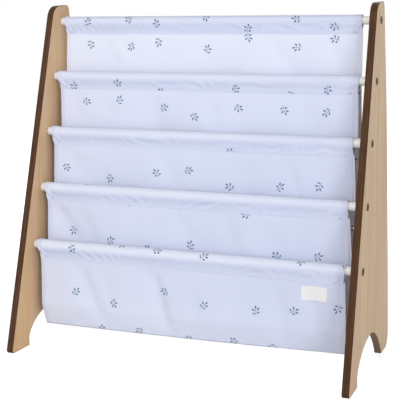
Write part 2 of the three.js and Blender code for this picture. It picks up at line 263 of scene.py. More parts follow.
# %% Edge band
BAND_ALONG, BAND_ACROSS = 9.0, 420.0  # streaks in a metre along the edge, and across it
EDGE_BANDS = {  # where in the noise the streaks are taken, and their dark and light tones
    "left": (3.0, (0.045, 0.020, 0.010), (0.125, 0.058, 0.030)),
    "right": (11.0, (0.044, 0.018, 0.0065), (0.097, 0.043, 0.017)),
}


def edge_band(name, start, dark, light):
    shade = new_shade(name)
    plain = shade.carried("edge_plain")
    along = shade.carried("edge_run") * BAND_ALONG + start
    across = shade.axis(shade.place(), 0) * BAND_ACROSS
    grain = shade.node("CombineXYZ", {}, {0: along, 1: across, 2: plain})
    streaks = shade.noise(grain, 1.0, 4.0, 0.6)
    fine = shade.noise(grain * (2.0, 6.0, 1.0), 1.0, 3.0)
    colour = shade.stain(dark, streaks, 0.3, 0.72, 1.0, light)
    colour = shade.stain(colour, fine, 0.52, 0.75, 0.4, darker(dark, 0.5))
    sealed = shade.mix(streaks, (0.18, 0.112, 0.078), (0.28, 0.175, 0.122))
    colour = shade.mix(plain, colour, sealed)
    normal = shade.bump(streaks + fine * 0.5, 0.0001)
    return shade.finish(colour, 0.45 + streaks * 0.2, normal, {"Specular IOR Level": 0.1})


edge_bands = {hand: edge_band(f"edge_band_{hand}", *values) for hand, values in EDGE_BANDS.items()}
print("edge bands:", [material.name for material in edge_bands.values()])

# %% [markdown]
# ## Small helpers for meshes
# Every piece here is a mesh built from rings or grids of points. One helper joins rings by faces. Another
# turns points and faces into a mesh, and turns the faces over if the volume that they close is negative,
# because then they point in. A third hangs the piece on the model: it rides on the frame's only body, and
# hides the nodes that it stands for.

# %% Mesh helpers
ROOT = "root"


def skinned(rings):
    """Faces between closed rings of point numbers. A tip is a ring that repeats one number."""
    quads = []
    for near, far in zip(rings, rings[1:]):
        quads += zip(near, near[1:] + near[:1], far[1:] + far[:1], far)
    return [tuple(dict.fromkeys(quad)) for quad in quads]


def closed_mesh(name, points, faces, attributes=None):
    """A mesh whose faces point out, with one number or vector at each point for every attribute."""
    points = np.asarray(points, float)
    corners = [(f[0], f[i], f[i + 1]) for f in faces for i in range(1, len(f) - 1)]
    a, b, c = (points[[corner[i] for corner in corners]] for i in range(3))
    volume = np.einsum("ij,ij->i", a, np.cross(b, c)).sum() / 6
    if volume < 0:
        faces = [tuple(reversed(f)) for f in faces]
    mesh = bpy.data.meshes.new(name)
    mesh.from_pydata(points.tolist(), [], faces)
    for key, values in (attributes or {}).items():
        values = np.asarray(values, np.float32)
        kind, field = ("FLOAT", "value") if values.ndim == 1 else ("FLOAT_VECTOR", "vector")
        mesh.attributes.new(key, kind, "POINT").data.foreach_set(field, values.ravel())
    mesh.shade_smooth()
    return mesh


def add_piece(mesh, materials, slot, *nodes):
    """Puts a mesh into the scene as a piece of its name, which stands for the given nodes."""
    for material in materials:
        mesh.materials.append(material)
    piece = bpy.data.objects.new(mesh.name, mesh)
    bpy.context.scene.collection.objects.link(piece)
    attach(piece, ROOT)
    if nodes:
        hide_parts(*nodes)
    return piece


def lerp(start, end, share):
    return start + (end - start) * share


def ease(value, low, high):
    share = np.clip((value - low) / (high - low), 0, 1)
    return share * share * (3 - 2 * share)


def bulge(share):
    """A parabola over 0 to 1 that is 1 halfway."""
    return 4 * share * (1 - share)


print("mesh helpers are ready")

# %% [markdown]
# ## The boards' outline
# Each board is cut from a 12 mm sheet: a leaning front edge, a gently bowed back edge, rounded corners
# and an arch that leaves two feet. The outline is written with the few sizes that a maker would mark out,
# and the round stretches are arcs and curves with as many steps as look smooth. The arch comes first: two
# curves that meet at its highest point, each of them steered by two handles.

# %% Arch
FLOOR_DEPTH = 0.2975
FRONT_FOOT_DEPTH, BACK_FOOT_DEPTH = 0.057, 0.0585
ARCH_RISE = 0.0595
ARCH_STEP = 0.014  # of the front foot's upright side, below the arch's curve
ARCH_FRONT_HANDLES = (0.04, 0.46), (0.45, 1)  # shares of the curve's way along, and of its rise
ARCH_BACK_HANDLES = (0.43, 0.8), (1, 0.48)
ARCH_STEPS = 28


def cubic(a, b, c, d, share):
    """A point of a cubic curve with the ends a and d and the handles b and c."""
    rest = 1 - share
    return rest**3 * a + 3 * rest**2 * share * b + 3 * rest * share**2 * c + share**3 * d


def handled_curve(start, end, pulls, lifts):
    """A cubic curve whose two handles stand at shares of the way along and of the rise."""
    rise = abs(end[1] - start[1])
    low = min(start[1], end[1])
    handles = [(lerp(start[0], end[0], pull), low + rise * lift) for pull, lift in zip(pulls, lifts)]
    return cubic(*(np.array(p) for p in [start, *handles, end]), np.linspace(0, 1, ARCH_STEPS + 1)[:, None])


def arch_points():
    back = FLOOR_DEPTH - BACK_FOOT_DEPTH
    apex = ((FRONT_FOOT_DEPTH + back) / 2, ARCH_RISE)
    front_half = handled_curve((FRONT_FOOT_DEPTH, ARCH_STEP), apex, *ARCH_FRONT_HANDLES)
    back_half = handled_curve(apex, (back, 0), *ARCH_BACK_HANDLES)
    return [(FRONT_FOOT_DEPTH, 0), *front_half, *back_half[1:]]


print("arch:", len(arch_points()), "points")

# %% [markdown]
# A corner is rounded by an arc that touches both of its sides, so that its radius is all that it needs.
# The outline then goes once round the board: the arch, the bowed back edge, and both corners of the top.
# It notes which stretch has no dark band.

# %% Board outline
BOARD_HEIGHT = 0.6065  # at the top's back corner, before it is rounded
FRONT_TOP_DROP = 0.0043  # how much lower the top's front corner lies
TOP_DEPTH = 0.0525
FRONT_SET_BACK = 0.1585
BACK_BOW = 0.0105
FRONT_FOOT_ROUND, BACK_FOOT_ROUND = 0.006, 0.022
FRONT_TOP_ROUND, BACK_TOP_ROUND = 0.027, 0.009
CORNER_STEPS, BACK_STEPS = 14, 24


def rounded(corner, before, after, radius):
    """The points of an arc that rounds a corner."""
    corner, before, after = (np.array(p, float) for p in (corner, before, after))
    inward = (before - corner) / np.linalg.norm(before - corner)
    onward = (after - corner) / np.linalg.norm(after - corner)
    half = math.acos(inward @ onward) / 2
    bisector = (inward + onward) / np.linalg.norm(inward + onward)
    centre = corner + bisector * radius / math.sin(half)
    first = corner + inward * radius / math.tan(half) - centre
    last = corner + onward * radius / math.tan(half) - centre
    turn = math.atan2(first[0] * last[1] - first[1] * last[0], first @ last)
    sideways = np.array([-first[1], first[0]])
    angles = np.linspace(0, turn, CORNER_STEPS + 1)
    return [centre + first * math.cos(t) + sideways * math.sin(t) for t in angles]


def board_outline():
    """Points in (Y, Z) round the board from the foot of its front edge, and which of them are left plain."""
    share = np.linspace(0, 1, BACK_STEPS + 1)
    back_depth = lerp(FLOOR_DEPTH, FRONT_SET_BACK + TOP_DEPTH, share) + BACK_BOW * bulge(share)
    back_edge = np.stack([back_depth, BOARD_HEIGHT * share], 1)
    front_top = (FRONT_SET_BACK, BOARD_HEIGHT - FRONT_TOP_DROP)
    arch = arch_points()
    points = rounded((0, 0), front_top, arch[0], FRONT_FOOT_ROUND)
    plain_start = len(points)
    points += arch
    points += rounded(back_edge[0], arch[-1], back_edge[1], BACK_FOOT_ROUND)
    points += list(back_edge[2:-1])
    plain_end = len(points)
    points += rounded(back_edge[-1], back_edge[-2], front_top, BACK_TOP_ROUND)
    points += rounded(front_top, back_edge[-1], (0, 0), FRONT_TOP_ROUND)
    points = np.array(points)
    points[:, 0] -= (points[:, 0].min() + points[:, 0].max()) / 2
    number = np.arange(len(points))
    return points, (plain_start <= number) & (number < plain_end)


outline, outline_plain = board_outline()
print("outline:", len(outline), "points,", round(2 * outline[:, 0].max(), 4), "m deep")

# %% [markdown]
# ## The boards
# A bevelled curve could give a board in one step, but then the bands' length along the edge would be
# lost. So rings of the outline are stepped over the thickness, drawn in a little at both faces where the
# edge is eased by sandpaper. The faces are filled round the five bolt holes.

# %% Faces with holes


def outward(points):
    """The way out at each point of a closed outline, longer at corners so that edges keep their distance."""
    back = points - np.roll(points, 1, 0)
    ahead = np.roll(points, -1, 0) - points
    sides = [np.stack([d[:, 1], -d[:, 0]], 1) / np.linalg.norm(d, axis=1)[:, None] for d in (back, ahead)]
    summed = sides[0] + sides[1]
    return summed * (2 / np.einsum("ij,ij->i", summed, summed))[:, None]


def filled(points, loops, turned):
    """Triangles that fill the first loop of point numbers round the others, all facing one way along X."""
    flat = [index for loop in loops for index in loop]
    corners = [[Vector((points[i][1], points[i][2], 0)) for i in loop] for loop in loops]
    for a, b, c in tessellate_polygon(corners):
        (ay, az), (by, bz), (cy, cz) = (points[flat[i]][1:] for i in (a, b, c))
        faces_up = (by - ay) * (cz - az) - (bz - az) * (cy - ay) > 0
        order = (a, b, c) if faces_up != turned else (a, c, b)
        yield tuple(flat[i] for i in order)


print("longest way out at a corner:", round(float(np.linalg.norm(outward(outline), axis=1).max()), 3))

# %% [markdown]
# The rods' axes are read from the model, and a bolt hole goes through the board at each of them. The edge
# and the holes are shaded smooth and have the band's material, and the faces stay flat.

# %% Boards
EDGE_EASE = 0.0009
EASE_STEPS = 4
BOLT_HOLE_RADIUS = 0.0033
HOLE_SIDES = 32
ROD_COUNT = 5
board_low, board_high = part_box("side_panel_right")
BOARD_THICKNESS = board_high.x - board_low.x
rod_boxes = [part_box(f"rod_{number}") for number in range(1, ROD_COUNT + 1)]
rod_axes = [((low.y + high.y) / 2, (low.z + high.z) / 2) for low, high in rod_boxes]


def board_mesh(name, x_low):
    """A board whose low face lies at x_low. Its points carry their length along the edge."""
    x_high = x_low + BOARD_THICKNESS
    steps = np.linspace(0, math.pi / 2, EASE_STEPS + 1)
    eased = [(EDGE_EASE * (1 - math.sin(t)), EDGE_EASE * (1 - math.cos(t))) for t in steps]
    profile = [(inset, x_low + depth) for inset, depth in eased]
    profile += [(inset, x_high - depth) for inset, depth in reversed(eased)]
    out = outward(outline)
    points = [(x, y, z) for inset, x in profile for y, z in outline - out * inset]
    rings = np.arange(len(points)).reshape(len(profile), -1).tolist()
    faces = skinned(rings)
    angles = np.linspace(0, math.tau, HOLE_SIDES, endpoint=False)
    circle = BOLT_HOLE_RADIUS * np.stack([np.cos(angles), np.sin(angles)], 1)
    holes = {x_low: [], x_high: []}
    for y, z in rod_axes:
        for x, loops in holes.items():
            loops.append(list(range(len(points), len(points) + HOLE_SIDES)))
            points += [(x, y + across, z + up) for across, up in circle]
        faces += skinned([holes[x_high][-1], holes[x_low][-1]])
    edge_faces = len(faces)
    for rim, loops, turned in ((rings[0], holes[x_low], True), (rings[-1], holes[x_high], False)):
        faces += filled(points, [rim, *(loop[::-1] for loop in loops)], turned)
    run = np.concatenate([[0], np.cumsum(np.linalg.norm(np.diff(outline, axis=0), axis=1))])
    spare = np.zeros(len(points) - len(run) * len(profile))
    carried = {"edge_run": run, "edge_plain": outline_plain}
    carried = {key: np.concatenate([*[values] * len(profile), spare]) for key, values in carried.items()}
    mesh = closed_mesh(name, points, faces, carried)
    on_edge = np.arange(len(faces)) < edge_faces
    mesh.polygons.foreach_set("material_index", on_edge.astype(np.int32))
    mesh.polygons.foreach_set("use_smooth", on_edge)
    print(name, len(points), "points,", edge_faces, "faces on the edge and in the holes")
    return mesh


for hand in ("left", "right"):
    low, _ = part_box(f"side_panel_{hand}")
    board = board_mesh(f"board_{hand}", low.x)
    add_piece(board, [veneers[hand], edge_bands[hand]], "veneer", f"side_panel_{hand}")

# %% [markdown]
# ## Painted rods
# The white paint is smooth but not glassy. It shows faint brush marks, and it is rubbed warm and grey
# near the ends, where hands hold the rod when the shelf is put together. One flat white would look like
# plastic, so the distance from the rod's end and some noise mix two tones of it.

# %% White paint
RUBBED_BARE, RUBBED_END = 0.004, 0.016  # metres from the end, between which the rubbing fades
RUBBED_RAGGED = 0.012
BRUSH_MARKS = 1400.0  # in a metre round the rod


def white_paint():
    shade = new_shade("white_paint")
    place = shade.place()
    from_end = rod_boxes[0][1].x - shade.maths("ABSOLUTE", shade.axis(place, 0))
    blotches = shade.noise(place, 90.0, 3.0)
    brush = shade.noise(place * (0.04, 1.0, 1.0), BRUSH_MARKS, 3.0)
    rubbed = shade.ease(from_end + blotches * RUBBED_RAGGED, RUBBED_BARE, RUBBED_END, 1.0, 0.0)
    colour = shade.mix(blotches * 0.5, (0.80, 0.80, 0.785), (0.74, 0.74, 0.72))
    colour = shade.mix(rubbed * 0.5, colour, (0.70, 0.69, 0.66))
    roughness = 0.30 + blotches * 0.12 + rubbed * 0.15
    return shade.finish(colour, roughness, shade.bump(brush, 0.00006))


paint = white_paint()
print("rod finish:", paint.name)

# %% [markdown]
# A dowel is turned and its ends are chamfered, so a profile spun round the rod's axis makes it, with a
# blind bore in each end for the threaded insert. A Screw modifier could spin it too, but here the same
# helper also turns the bolts, whose key socket isn't round.

# %% Rods
ROD_SIDES = 56
ROD_CHAMFER = 0.0008
ROD_CREASE = 30  # degrees: edges that turn by more are shaded crisply
INSERT_BORE_RADIUS = 0.005
INSERT_BORE_DEPTH = 0.018


def turned_mesh(name, profile, sides, centre, crease, flip=1):
    """Spins a profile of places, radii and wear round an axis along X.

    A radius is a number or a function of the angle. One of 0 makes a tip.
    """
    angles = np.linspace(0, math.tau, sides, endpoint=False)
    points, rings, worn = [], [], []
    for x, radius, wear in profile:
        around = angles[:1] if radius == 0 else angles
        reach = radius(around) if callable(radius) else np.full(len(around), float(radius))
        numbers = list(range(len(points), len(points) + len(around)))
        rings.append(numbers * (sides // len(numbers)))
        worn += [wear] * len(numbers)
        across = zip(reach * np.cos(around), reach * np.sin(around))
        points += [(centre[0] + flip * x, centre[1] + y, centre[2] + z) for y, z in across]
    mesh = closed_mesh(name, points, skinned(rings), {"wear": worn})
    mesh.set_sharp_from_angle(angle=math.radians(crease))
    return mesh


for number, (low, high) in enumerate(rod_boxes, 1):
    end = high.x
    radius = (high.z - low.z) / 2
    half = [
        (end - INSERT_BORE_DEPTH, 0, 0),
        (end - INSERT_BORE_DEPTH, INSERT_BORE_RADIUS, 0),
        (end, INSERT_BORE_RADIUS, 0),
        (end, radius - ROD_CHAMFER, 0),
        (end - ROD_CHAMFER, radius, 0),
    ]
    profile = half + [(-x, *rest) for x, *rest in reversed(half)]
    rod = turned_mesh(f"painted_rod_{number}", profile, ROD_SIDES, (0, *rod_axes[number - 1]), ROD_CREASE)
    add_piece(rod, [paint], "white_paint", f"rod_{number}")
print("rods:", ROD_COUNT, "of", round(2 * radius * 1000, 1), "mm across")

# %% [markdown]
# ## Bronze bolts and their zinc inserts
# Each rod end is held by a round-headed bolt in dark bronze paint. Its rim is where a key slips and paint
# wears, so the mesh marks it, and the metal shines through there. The mark alone would end in a clean
# line, so speckled noise breaks it up.

# %% Bronze


def bronze():
    shade = new_shade("bronze")
    place = shade.place()
    speckle = shade.noise(place, 1600.0, 3.0)
    clouds = shade.noise(place, 260.0, 2.0)
    worn = shade.ease(shade.carried("wear") * 0.75 + speckle * 0.5, 0.62, 0.95)
    colour = shade.mix(clouds, (0.058, 0.030, 0.014), (0.095, 0.050, 0.023))
    colour = shade.mix(worn, colour, (0.33, 0.22, 0.13))
    roughness = 0.36 + speckle * 0.18 - worn * 0.1
    metal = {"Metallic": 0.35, "Specular IOR Level": 0.15}
    return shade.finish(colour, roughness, shade.bump(speckle, 0.00004), metal)


bolt_metal = bronze()
print("bolt finish:", bolt_metal.name)

# %% [markdown]
# The head is a low dome with a six-sided key socket. The socket is the only part that isn't round, so its
# rings have a radius that depends on the angle: the flat sides of a hexagon.

# %% A bolt's profile
HEAD_RIM = 0.0006
HEAD_EASE = 0.0003
SOCKET_ACROSS = 0.004
SOCKET_DEPTH = 0.0014
SOCKET_POINT = 0.0005  # the drilled cone below the socket
SOCKET_CHAMFER = 0.0002
SHANK_RADIUS = 0.003
SHANK_CHAMFER = 0.0006
DOME_STEPS = 7
DOME_CURVE = 2.2  # 2 is a parabola, and more is flatter on top
DOME_WEAR = {0: 0.5, DOME_STEPS: 1.0}  # at the socket and at the rim


def hexagon(grow=0.0):
    """The socket's radius at each angle, drawn out by grow."""
    def radius(angles):
        return (SOCKET_ACROSS / 2 + grow) / np.cos(np.mod(angles, math.pi / 3) - math.pi / 6)
    return radius


def bolt_profile(head_radius, head_height, reach):
    """Place, radius and wear from the middle of the socket, over the domed head and along the shank.

    The place is 0 under the head.
    """
    dome = []
    corner = SOCKET_ACROSS / 2 / math.cos(math.pi / 6) + 2 * SOCKET_CHAMFER
    for step in range(DOME_STEPS + 1):
        radius = lerp(corner, head_radius - HEAD_EASE, step / DOME_STEPS)
        height = (head_height - HEAD_RIM) * (1 - (radius / head_radius) ** DOME_CURVE)
        dome.append((HEAD_RIM + height, radius, DOME_WEAR.get(step, 0)))
    top = dome[0][0]
    return [
        (top - SOCKET_DEPTH - SOCKET_POINT, 0, 0),
        (top - SOCKET_DEPTH, hexagon(), 0),
        (top - SOCKET_CHAMFER, hexagon(), 0),
        (top, hexagon(SOCKET_CHAMFER), 0.8),
        *dome,
        (HEAD_RIM, head_radius, 1.0),
        (HEAD_EASE, head_radius, 0.4),
        (0, head_radius - HEAD_EASE, 0),
        (0, SHANK_RADIUS, 0),
        (SHANK_CHAMFER - reach, SHANK_RADIUS, 0),
        (-reach, SHANK_RADIUS - SHANK_CHAMFER, 0),
        (-reach, 0, 0),
    ]


print("socket:", round(hexagon()(np.array([0.0]))[0] * 2000, 2), "mm over its corners")

# %% [markdown]
# One profile serves all ten bolts. The left ones are turned the other way, and each takes the size of its
# head and the length of its shank from the model.

# %% Bolts
BOLT_SIDES = 48
BOLT_CREASE = 32  # degrees
HEAD_GAP = 0.0003  # between the head and the board
underside = board_high.x + HEAD_GAP
for number in range(1, ROD_COUNT + 1):
    for hand, flip in (("left", -1), ("right", 1)):
        low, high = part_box(f"bolt_{hand}_{number}")
        head_radius = (high.z - low.z) / 2
        head_height = max(-low.x, high.x) - underside
        reach = underside - min(abs(low.x), abs(high.x))
        profile = bolt_profile(head_radius, head_height, reach)
        centre = (flip * underside, (low.y + high.y) / 2, (low.z + high.z) / 2)
        bolt = turned_mesh(f"bronze_bolt_{hand}_{number}", profile, BOLT_SIDES, centre, BOLT_CREASE, flip)
        add_piece(bolt, [bolt_metal], "bronze", f"bolt_{hand}_{number}")
print("bolts: heads", round(head_radius * 2000, 1), "mm across, reach", round(reach * 1000, 1), "mm")

# %% [markdown]
# The inserts sit inside the rods, and their modelled shape is right, so only their material is new: zinc
# plating, with the cloudy crystals that zinc shows.

# %% Zinc on the inserts


def zinc():
    shade = new_shade("zinc_steel")
    place = shade.place()
    crystals = shade.node("TexVoronoi", {}, {"Vector": place, "Scale": 700.0}, "Color")
    fine = shade.noise(place, 2500.0, 2.0)
    colour = shade.mix(shade.axis(crystals, 0), (0.50, 0.51, 0.50), (0.62, 0.62, 0.58))
    return shade.finish(colour, 0.3 + fine * 0.2, shade.bump(fine, 0.00003), {"Metallic": 1.0})


plating = zinc()
for number in range(1, ROD_COUNT + 1):
    for hand in ("left", "right"):
        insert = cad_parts[f"insert_{hand}_{number}"]
        insert.data.materials.clear()
        insert.data.materials.append(plating)
print("inserts plated:", 2 * ROD_COUNT)

# %% [markdown]
# ## The printed cloth
# The print is a scatter of small blue-grey twigs. The cloth is divided into cells in brick order, and one
# twig lies in each, shifted and turned by a random number of its own. A twig is a stem and five leaves,
# each an ellipse: a circle in coordinates that were moved, turned and stretched. An image would be quicker,
# but its pixels would show up close.

# %% Print
CELL_WIDTH, CELL_HEIGHT = 0.078, 0.077
CELL_SCATTER = 0.36  # how widely the twigs are scattered round their cells' middles, as a share of a cell
CELL_KEY_STEP = 17.0  # gives the cells of each row random numbers of their own
INK_RAGGED = 0.35
INK_EDGE = (0.82, 1.12)  # shares of a leaf's size, between which the ink fades
YARNS = 900.0  # uneven stretches of yarn in a metre
LEAVES = [  # middle, angle in degrees, half length and half width, in metres on the flat cloth
    ((0.0003, 0.0068), 84, 0.0029, 0.0015),
    ((0.0043, 0.0036), 42, 0.0029, 0.0015),
    ((-0.0042, 0.0022), 146, 0.0028, 0.0015),
    ((0.0040, -0.0024), 24, 0.0027, 0.0014),
    ((-0.0038, -0.0040), 158, 0.0025, 0.0013),
    ((-0.0001, -0.0020), 88, 0.0064, 0.0005),
]


def twig_print(shade, flat):
    """1 where a twig is printed, and 0 on the bare cloth."""
    cell_y = shade.axis(flat, 1) / CELL_HEIGHT
    row = shade.maths("FLOOR", cell_y)
    brick = shade.maths("FLOORED_MODULO", row, 2.0) * 0.5
    cell_x = shade.axis(flat, 0) / CELL_WIDTH + brick
    column = shade.maths("FLOOR", cell_x)
    key = shade.node("CombineXYZ", {}, {0: column + row * CELL_KEY_STEP, 1: row})
    chance = shade.node("TexWhiteNoise", {"noise_dimensions": "2D"}, {"Vector": key}, "Color")
    shift_x, shift_y, spin = (shade.axis(chance, i) for i in range(3))
    x = (cell_x - column - 0.5 - (shift_x - 0.5) * CELL_SCATTER) * CELL_WIDTH
    y = (cell_y - row - 0.5 - (shift_y - 0.5) * CELL_SCATTER) * CELL_HEIGHT
    local = shade.node("CombineXYZ", {}, {0: x, 1: y})
    turn = {"Vector": local, "Angle": spin * math.tau}
    local = shade.node("VectorRotate", {"rotation_type": "Z_AXIS"}, turn)
    ragged = (shade.noise(flat, YARNS, 2.0) - 0.5) * INK_RAGGED
    inked = 0.0
    for middle, angle, length, width in LEAVES:
        leaf = shade.node("Mapping", {"vector_type": "TEXTURE"}, {
            "Vector": local,
            "Location": (*middle, 0),
            "Rotation": (0, 0, math.radians(angle)),
            "Scale": (length, width, 1),
        })
        one = shade.ease(shade.length(leaf) + ragged, *INK_EDGE, 1.0, 0.0)
        inked = shade.maths("MAXIMUM", inked, one)
    return inked


print("print cells:", CELL_WIDTH, "by", CELL_HEIGHT, "m,", len(LEAVES) - 1, "leaves to a twig")

# %% [markdown]
# The sling is a smooth pale lavender-blue cotton. Three things make it cloth: a plain weave, where
# threads pass over and under each other twice a millimetre, slightly uneven yarns that leave faint lines
# both ways, and a soft sheen of loose fibres. All of them, and the print, are laid out on the flat cloth,
# so they bend and hide in the seams with it: each mesh carries the place of its points on the uncut
# cloth. The cloth is thin, and light and shade on it are painted into its colour: it is painted paler
# where it is a single layer with light behind it, and deeper where it is folded double in a hem, hangs
# before other layers or lies in shade, so each mesh also carries how much painted shade it has.

# %% Cloth finish
THREAD_PITCH = 0.00055
CLOUDS = 14.0  # broad changes of tone in a metre


def sling_cloth():
    shade = new_shade("sling_cloth")
    flat = shade.carried("flat_place", "Vector")
    threads = [shade.maths("SINE", shade.axis(flat, i) * (math.tau / THREAD_PITCH)) for i in (0, 1)]
    weave = threads[0] * threads[1]
    warp = shade.noise(flat * (1.0, 0.02, 1.0), YARNS, 2.0)
    weft = shade.noise(flat * (0.02, 1.0, 1.0), YARNS, 2.0)
    clouds = shade.noise(flat, CLOUDS, 3.0)
    colour = shade.stain((0.755, 0.785, 0.895), warp + weft, 0.75, 1.25, 1.0, (0.775, 0.80, 0.91))
    colour = shade.stain(colour, clouds, 0.35, 0.7, 0.4, (0.75, 0.775, 0.905))
    # Painted light and shade: the colour goes towards this deeper tone where the mesh's attribute is high,
    # and stays paler for light coming through a single layer.
    colour = shade.mix(shade.carried("painted_shade"), colour, (0.60, 0.64, 0.80))
    ink = shade.mix(clouds, (0.060, 0.125, 0.235), (0.090, 0.165, 0.28))
    colour = shade.mix(twig_print(shade, flat) * (0.80 + weave * 0.08 + warp * 0.2), colour, ink)
    normal = shade.bump(weave * 0.5 + (warp + weft) * 0.3, 0.00009)
    sheen = {"Sheen Weight": 0.22, "Sheen Roughness": 0.5, "Specular IOR Level": 0.25}
    return shade.finish(colour, 0.80 + warp * 0.1, normal, sheen)


cloth_finish = sling_cloth()
print("cloth finish:", cloth_finish.name, "with", round(0.001 / THREAD_PITCH, 1), "threads to a millimetre")

# %% [markdown]
# ## How the cloth hangs
# Cloth could be dropped on the rods by a simulation. A sling is tensioned by its seams though, and its
# layers hang a millimetre apart for a hand's length, where a simulation tends to tangle them. So the two
# layers that hang from one seam share one field of folds: they wave together and never cross. First come
# broad waves over the whole width.

# %% Broad waves
BROAD_WAVES = ((0.7, 2.5 * math.tau, 2.1), (0.3, 4 * math.tau, 4.2))


def waves(kinds, place, seam):
    """A sum of sine waves. Each kind has a height, and its radians for a unit of place and for a seam."""
    return sum(height * np.sin(pace * place + turn * seam) for height, pace, turn in kinds)


print("broad waves:", len(BROAD_WAVES))

# %% [markdown]
# Then come a few soft creases at given places, where the real cloth falls away from the corners in
# slanting folds. Each is a ridge along a short line, written as where the line starts and ends.

# %% Creases
FOLD_START, FOLD_END = (-0.12, 0.25), (0.7, 1.15)  # shares of a fold's length, where it rises and dies out
STEEP_SIDE, SOFT_SIDE = 0.75, 1.2  # shares of a fold's half width
cloth_left, cloth_right = (corner.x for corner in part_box("pocket_1"))
CLOTH_WIDTH = cloth_right - cloth_left

# For each seam: share across and drop at the start, the same at the end, half width and depth of the fold.
CREASES = [
    [
        ((0.13, 0.006), (0.19, 0.060), 0.010, 0.0012),
        ((0.20, 0.004), (0.25, 0.045), 0.007, 0.0010),
        ((0.36, 0.010), (0.38, 0.080), 0.016, 0.0010),
        ((0.70, 0.004), (0.82, 0.075), 0.014, 0.0020),
        ((0.90, 0.006), (0.95, 0.060), 0.009, 0.0012),
    ],
    [
        ((0.04, 0.008), (0.10, 0.070), 0.012, 0.0014),
        ((0.15, 0.004), (0.19, 0.050), 0.008, 0.0010),
        ((0.33, 0.010), (0.37, 0.080), 0.014, 0.0014),
        ((0.53, 0.006), (0.57, 0.075), 0.011, 0.0016),
        ((0.63, 0.010), (0.65, 0.080), 0.012, 0.0012),
        ((0.82, 0.006), (0.88, 0.070), 0.014, 0.0014),
    ],
    [
        ((0.04, 0.004), (0.14, 0.070), 0.011, 0.0018),
        ((0.12, 0.020), (0.22, 0.090), 0.012, 0.0014),
        ((0.39, 0.006), (0.45, 0.075), 0.012, 0.0018),
        ((0.66, 0.010), (0.68, 0.080), 0.014, 0.0014),
        ((0.80, 0.006), (0.84, 0.070), 0.010, 0.0012),
    ],
    [
        ((0.02, 0.004), (0.13, 0.075), 0.010, 0.0030),
        ((0.10, 0.004), (0.19, 0.080), 0.012, 0.0018),
        ((0.45, 0.004), (0.52, 0.060), 0.009, 0.0012),
        ((0.62, 0.006), (0.66, 0.060), 0.012, 0.0016),
        ((0.74, 0.010), (0.78, 0.070), 0.014, 0.0012),
    ],
    [
        ((0.13, 0.004), (0.24, 0.130), 0.011, 0.0030),
        ((0.22, 0.010), (0.27, 0.110), 0.016, 0.0016),
        ((0.39, 0.002), (0.45, 0.125), 0.010, 0.0034),
        ((0.52, 0.020), (0.56, 0.120), 0.014, 0.0016),
        ((0.80, 0.010), (0.81, 0.120), 0.012, 0.0022),
        ((0.90, 0.010), (0.93, 0.110), 0.010, 0.0018),
    ],
]


def ridge(share, drop, start, end, half_width, height):
    """A soft fold along a line on the cloth. Its upper right side is steeper, as where cloth leans over."""
    across, down = (share - start[0]) * CLOTH_WIDTH, drop - start[1]
    run = np.array([(end[0] - start[0]) * CLOTH_WIDTH, end[1] - start[1]])
    length = np.linalg.norm(run)
    along = (across * run[0] + down * run[1]) / length**2
    away = (across * run[1] - down * run[0]) / length
    ends = ease(along, *FOLD_START) * (1 - ease(along, *FOLD_END))
    width = np.where(away > 0, STEEP_SIDE, SOFT_SIDE) * half_width
    return height * ends * np.exp(-((away / width) ** 2))


print("creases:", sum(len(row) for row in CREASES))

# %% [markdown]
# Short creases are scattered between them by seeded chance, so that they lie the same way every time, and
# the stitches pull a row of small puckers along the seam. The side hems are stiffer, and turn to the back.

# %% Small creases, puckers and hems
SEWN_REACH = 0.012  # the drop over which the seam lets go of the cloth
FOLD_STRENGTH, FOLD_BREADTH = 1.6, 1.5
PUCKER_PITCH, PUCKER_LEAN = 0.0115, 0.35
PUCKER_REACH = 0.014
PUCKER_HEIGHT = 0.00035
PUCKER_WANDER = ((0.6, 37, 1), (0.4, 91, 2))
SMALL_CREASES = 34
SMALL_SEED = 40
SMALL_LIMITS = (  # least and most of each draw
    (0.01, 0.97),  # share across
    (0.0, 0.085),  # drop at its start
    (0.018, 0.05),  # length
    (0.15, 0.75),  # lean
    (0.003, 0.006),  # half width
    (-0.0003, 0.0005),  # height
)
HEM_REACH = 0.0105
LEFT_HEM_TURN, RIGHT_HEM_TURN = 0.0010, 0.0016


def small_creases(seam):
    """Short slanting creases, scattered below a seam by seeded chance."""
    chance = np.random.default_rng(SMALL_SEED + seam)
    for _ in range(SMALL_CREASES):
        across, drop, length, lean, half_width, height = (chance.uniform(*limits) for limits in SMALL_LIMITS)
        yield (across, drop), (across + lean * length / CLOTH_WIDTH, drop + length), half_width, height


def wrinkles(seam, share, drop):
    """How far the cloth stands towards the front at a place below a seam, beyond its broad waves."""
    folds = list(small_creases(seam))
    for start, end, half_width, depth in CREASES[seam]:
        folds.append((start, end, FOLD_BREADTH * half_width, -FOLD_STRENGTH * depth))
    height = sum(ridge(share, drop, *fold) for fold in folds)
    angle = math.tau * (share * CLOTH_WIDTH - PUCKER_LEAN * drop) / PUCKER_PITCH
    ripple = np.sin(angle + waves(PUCKER_WANDER, share, seam))
    height += PUCKER_HEIGHT * ripple * np.exp(-drop / PUCKER_REACH)
    return height * ease(drop, 0.0, SEWN_REACH)


def hem_turn(share):
    """How far the side hems turn towards the back, more at the right end."""
    left = np.clip(1 - share * CLOTH_WIDTH / HEM_REACH, 0, 1)
    right = np.clip(1 - (1 - share) * CLOTH_WIDTH / HEM_REACH, 0, 1)
    return LEFT_HEM_TURN * left**2 + RIGHT_HEM_TURN * right**2


print("small creases:", SMALL_CREASES * ROD_COUNT)

# %% [markdown]
# ## Where each layer lies
# Four layers meet in a seam: the sleeve's front, the cloth of the pocket below, the cloth of the pocket
# above, and the sleeve's back. They lie 0.6 mm apart there, and the pockets' layers drift apart below the
# seam.

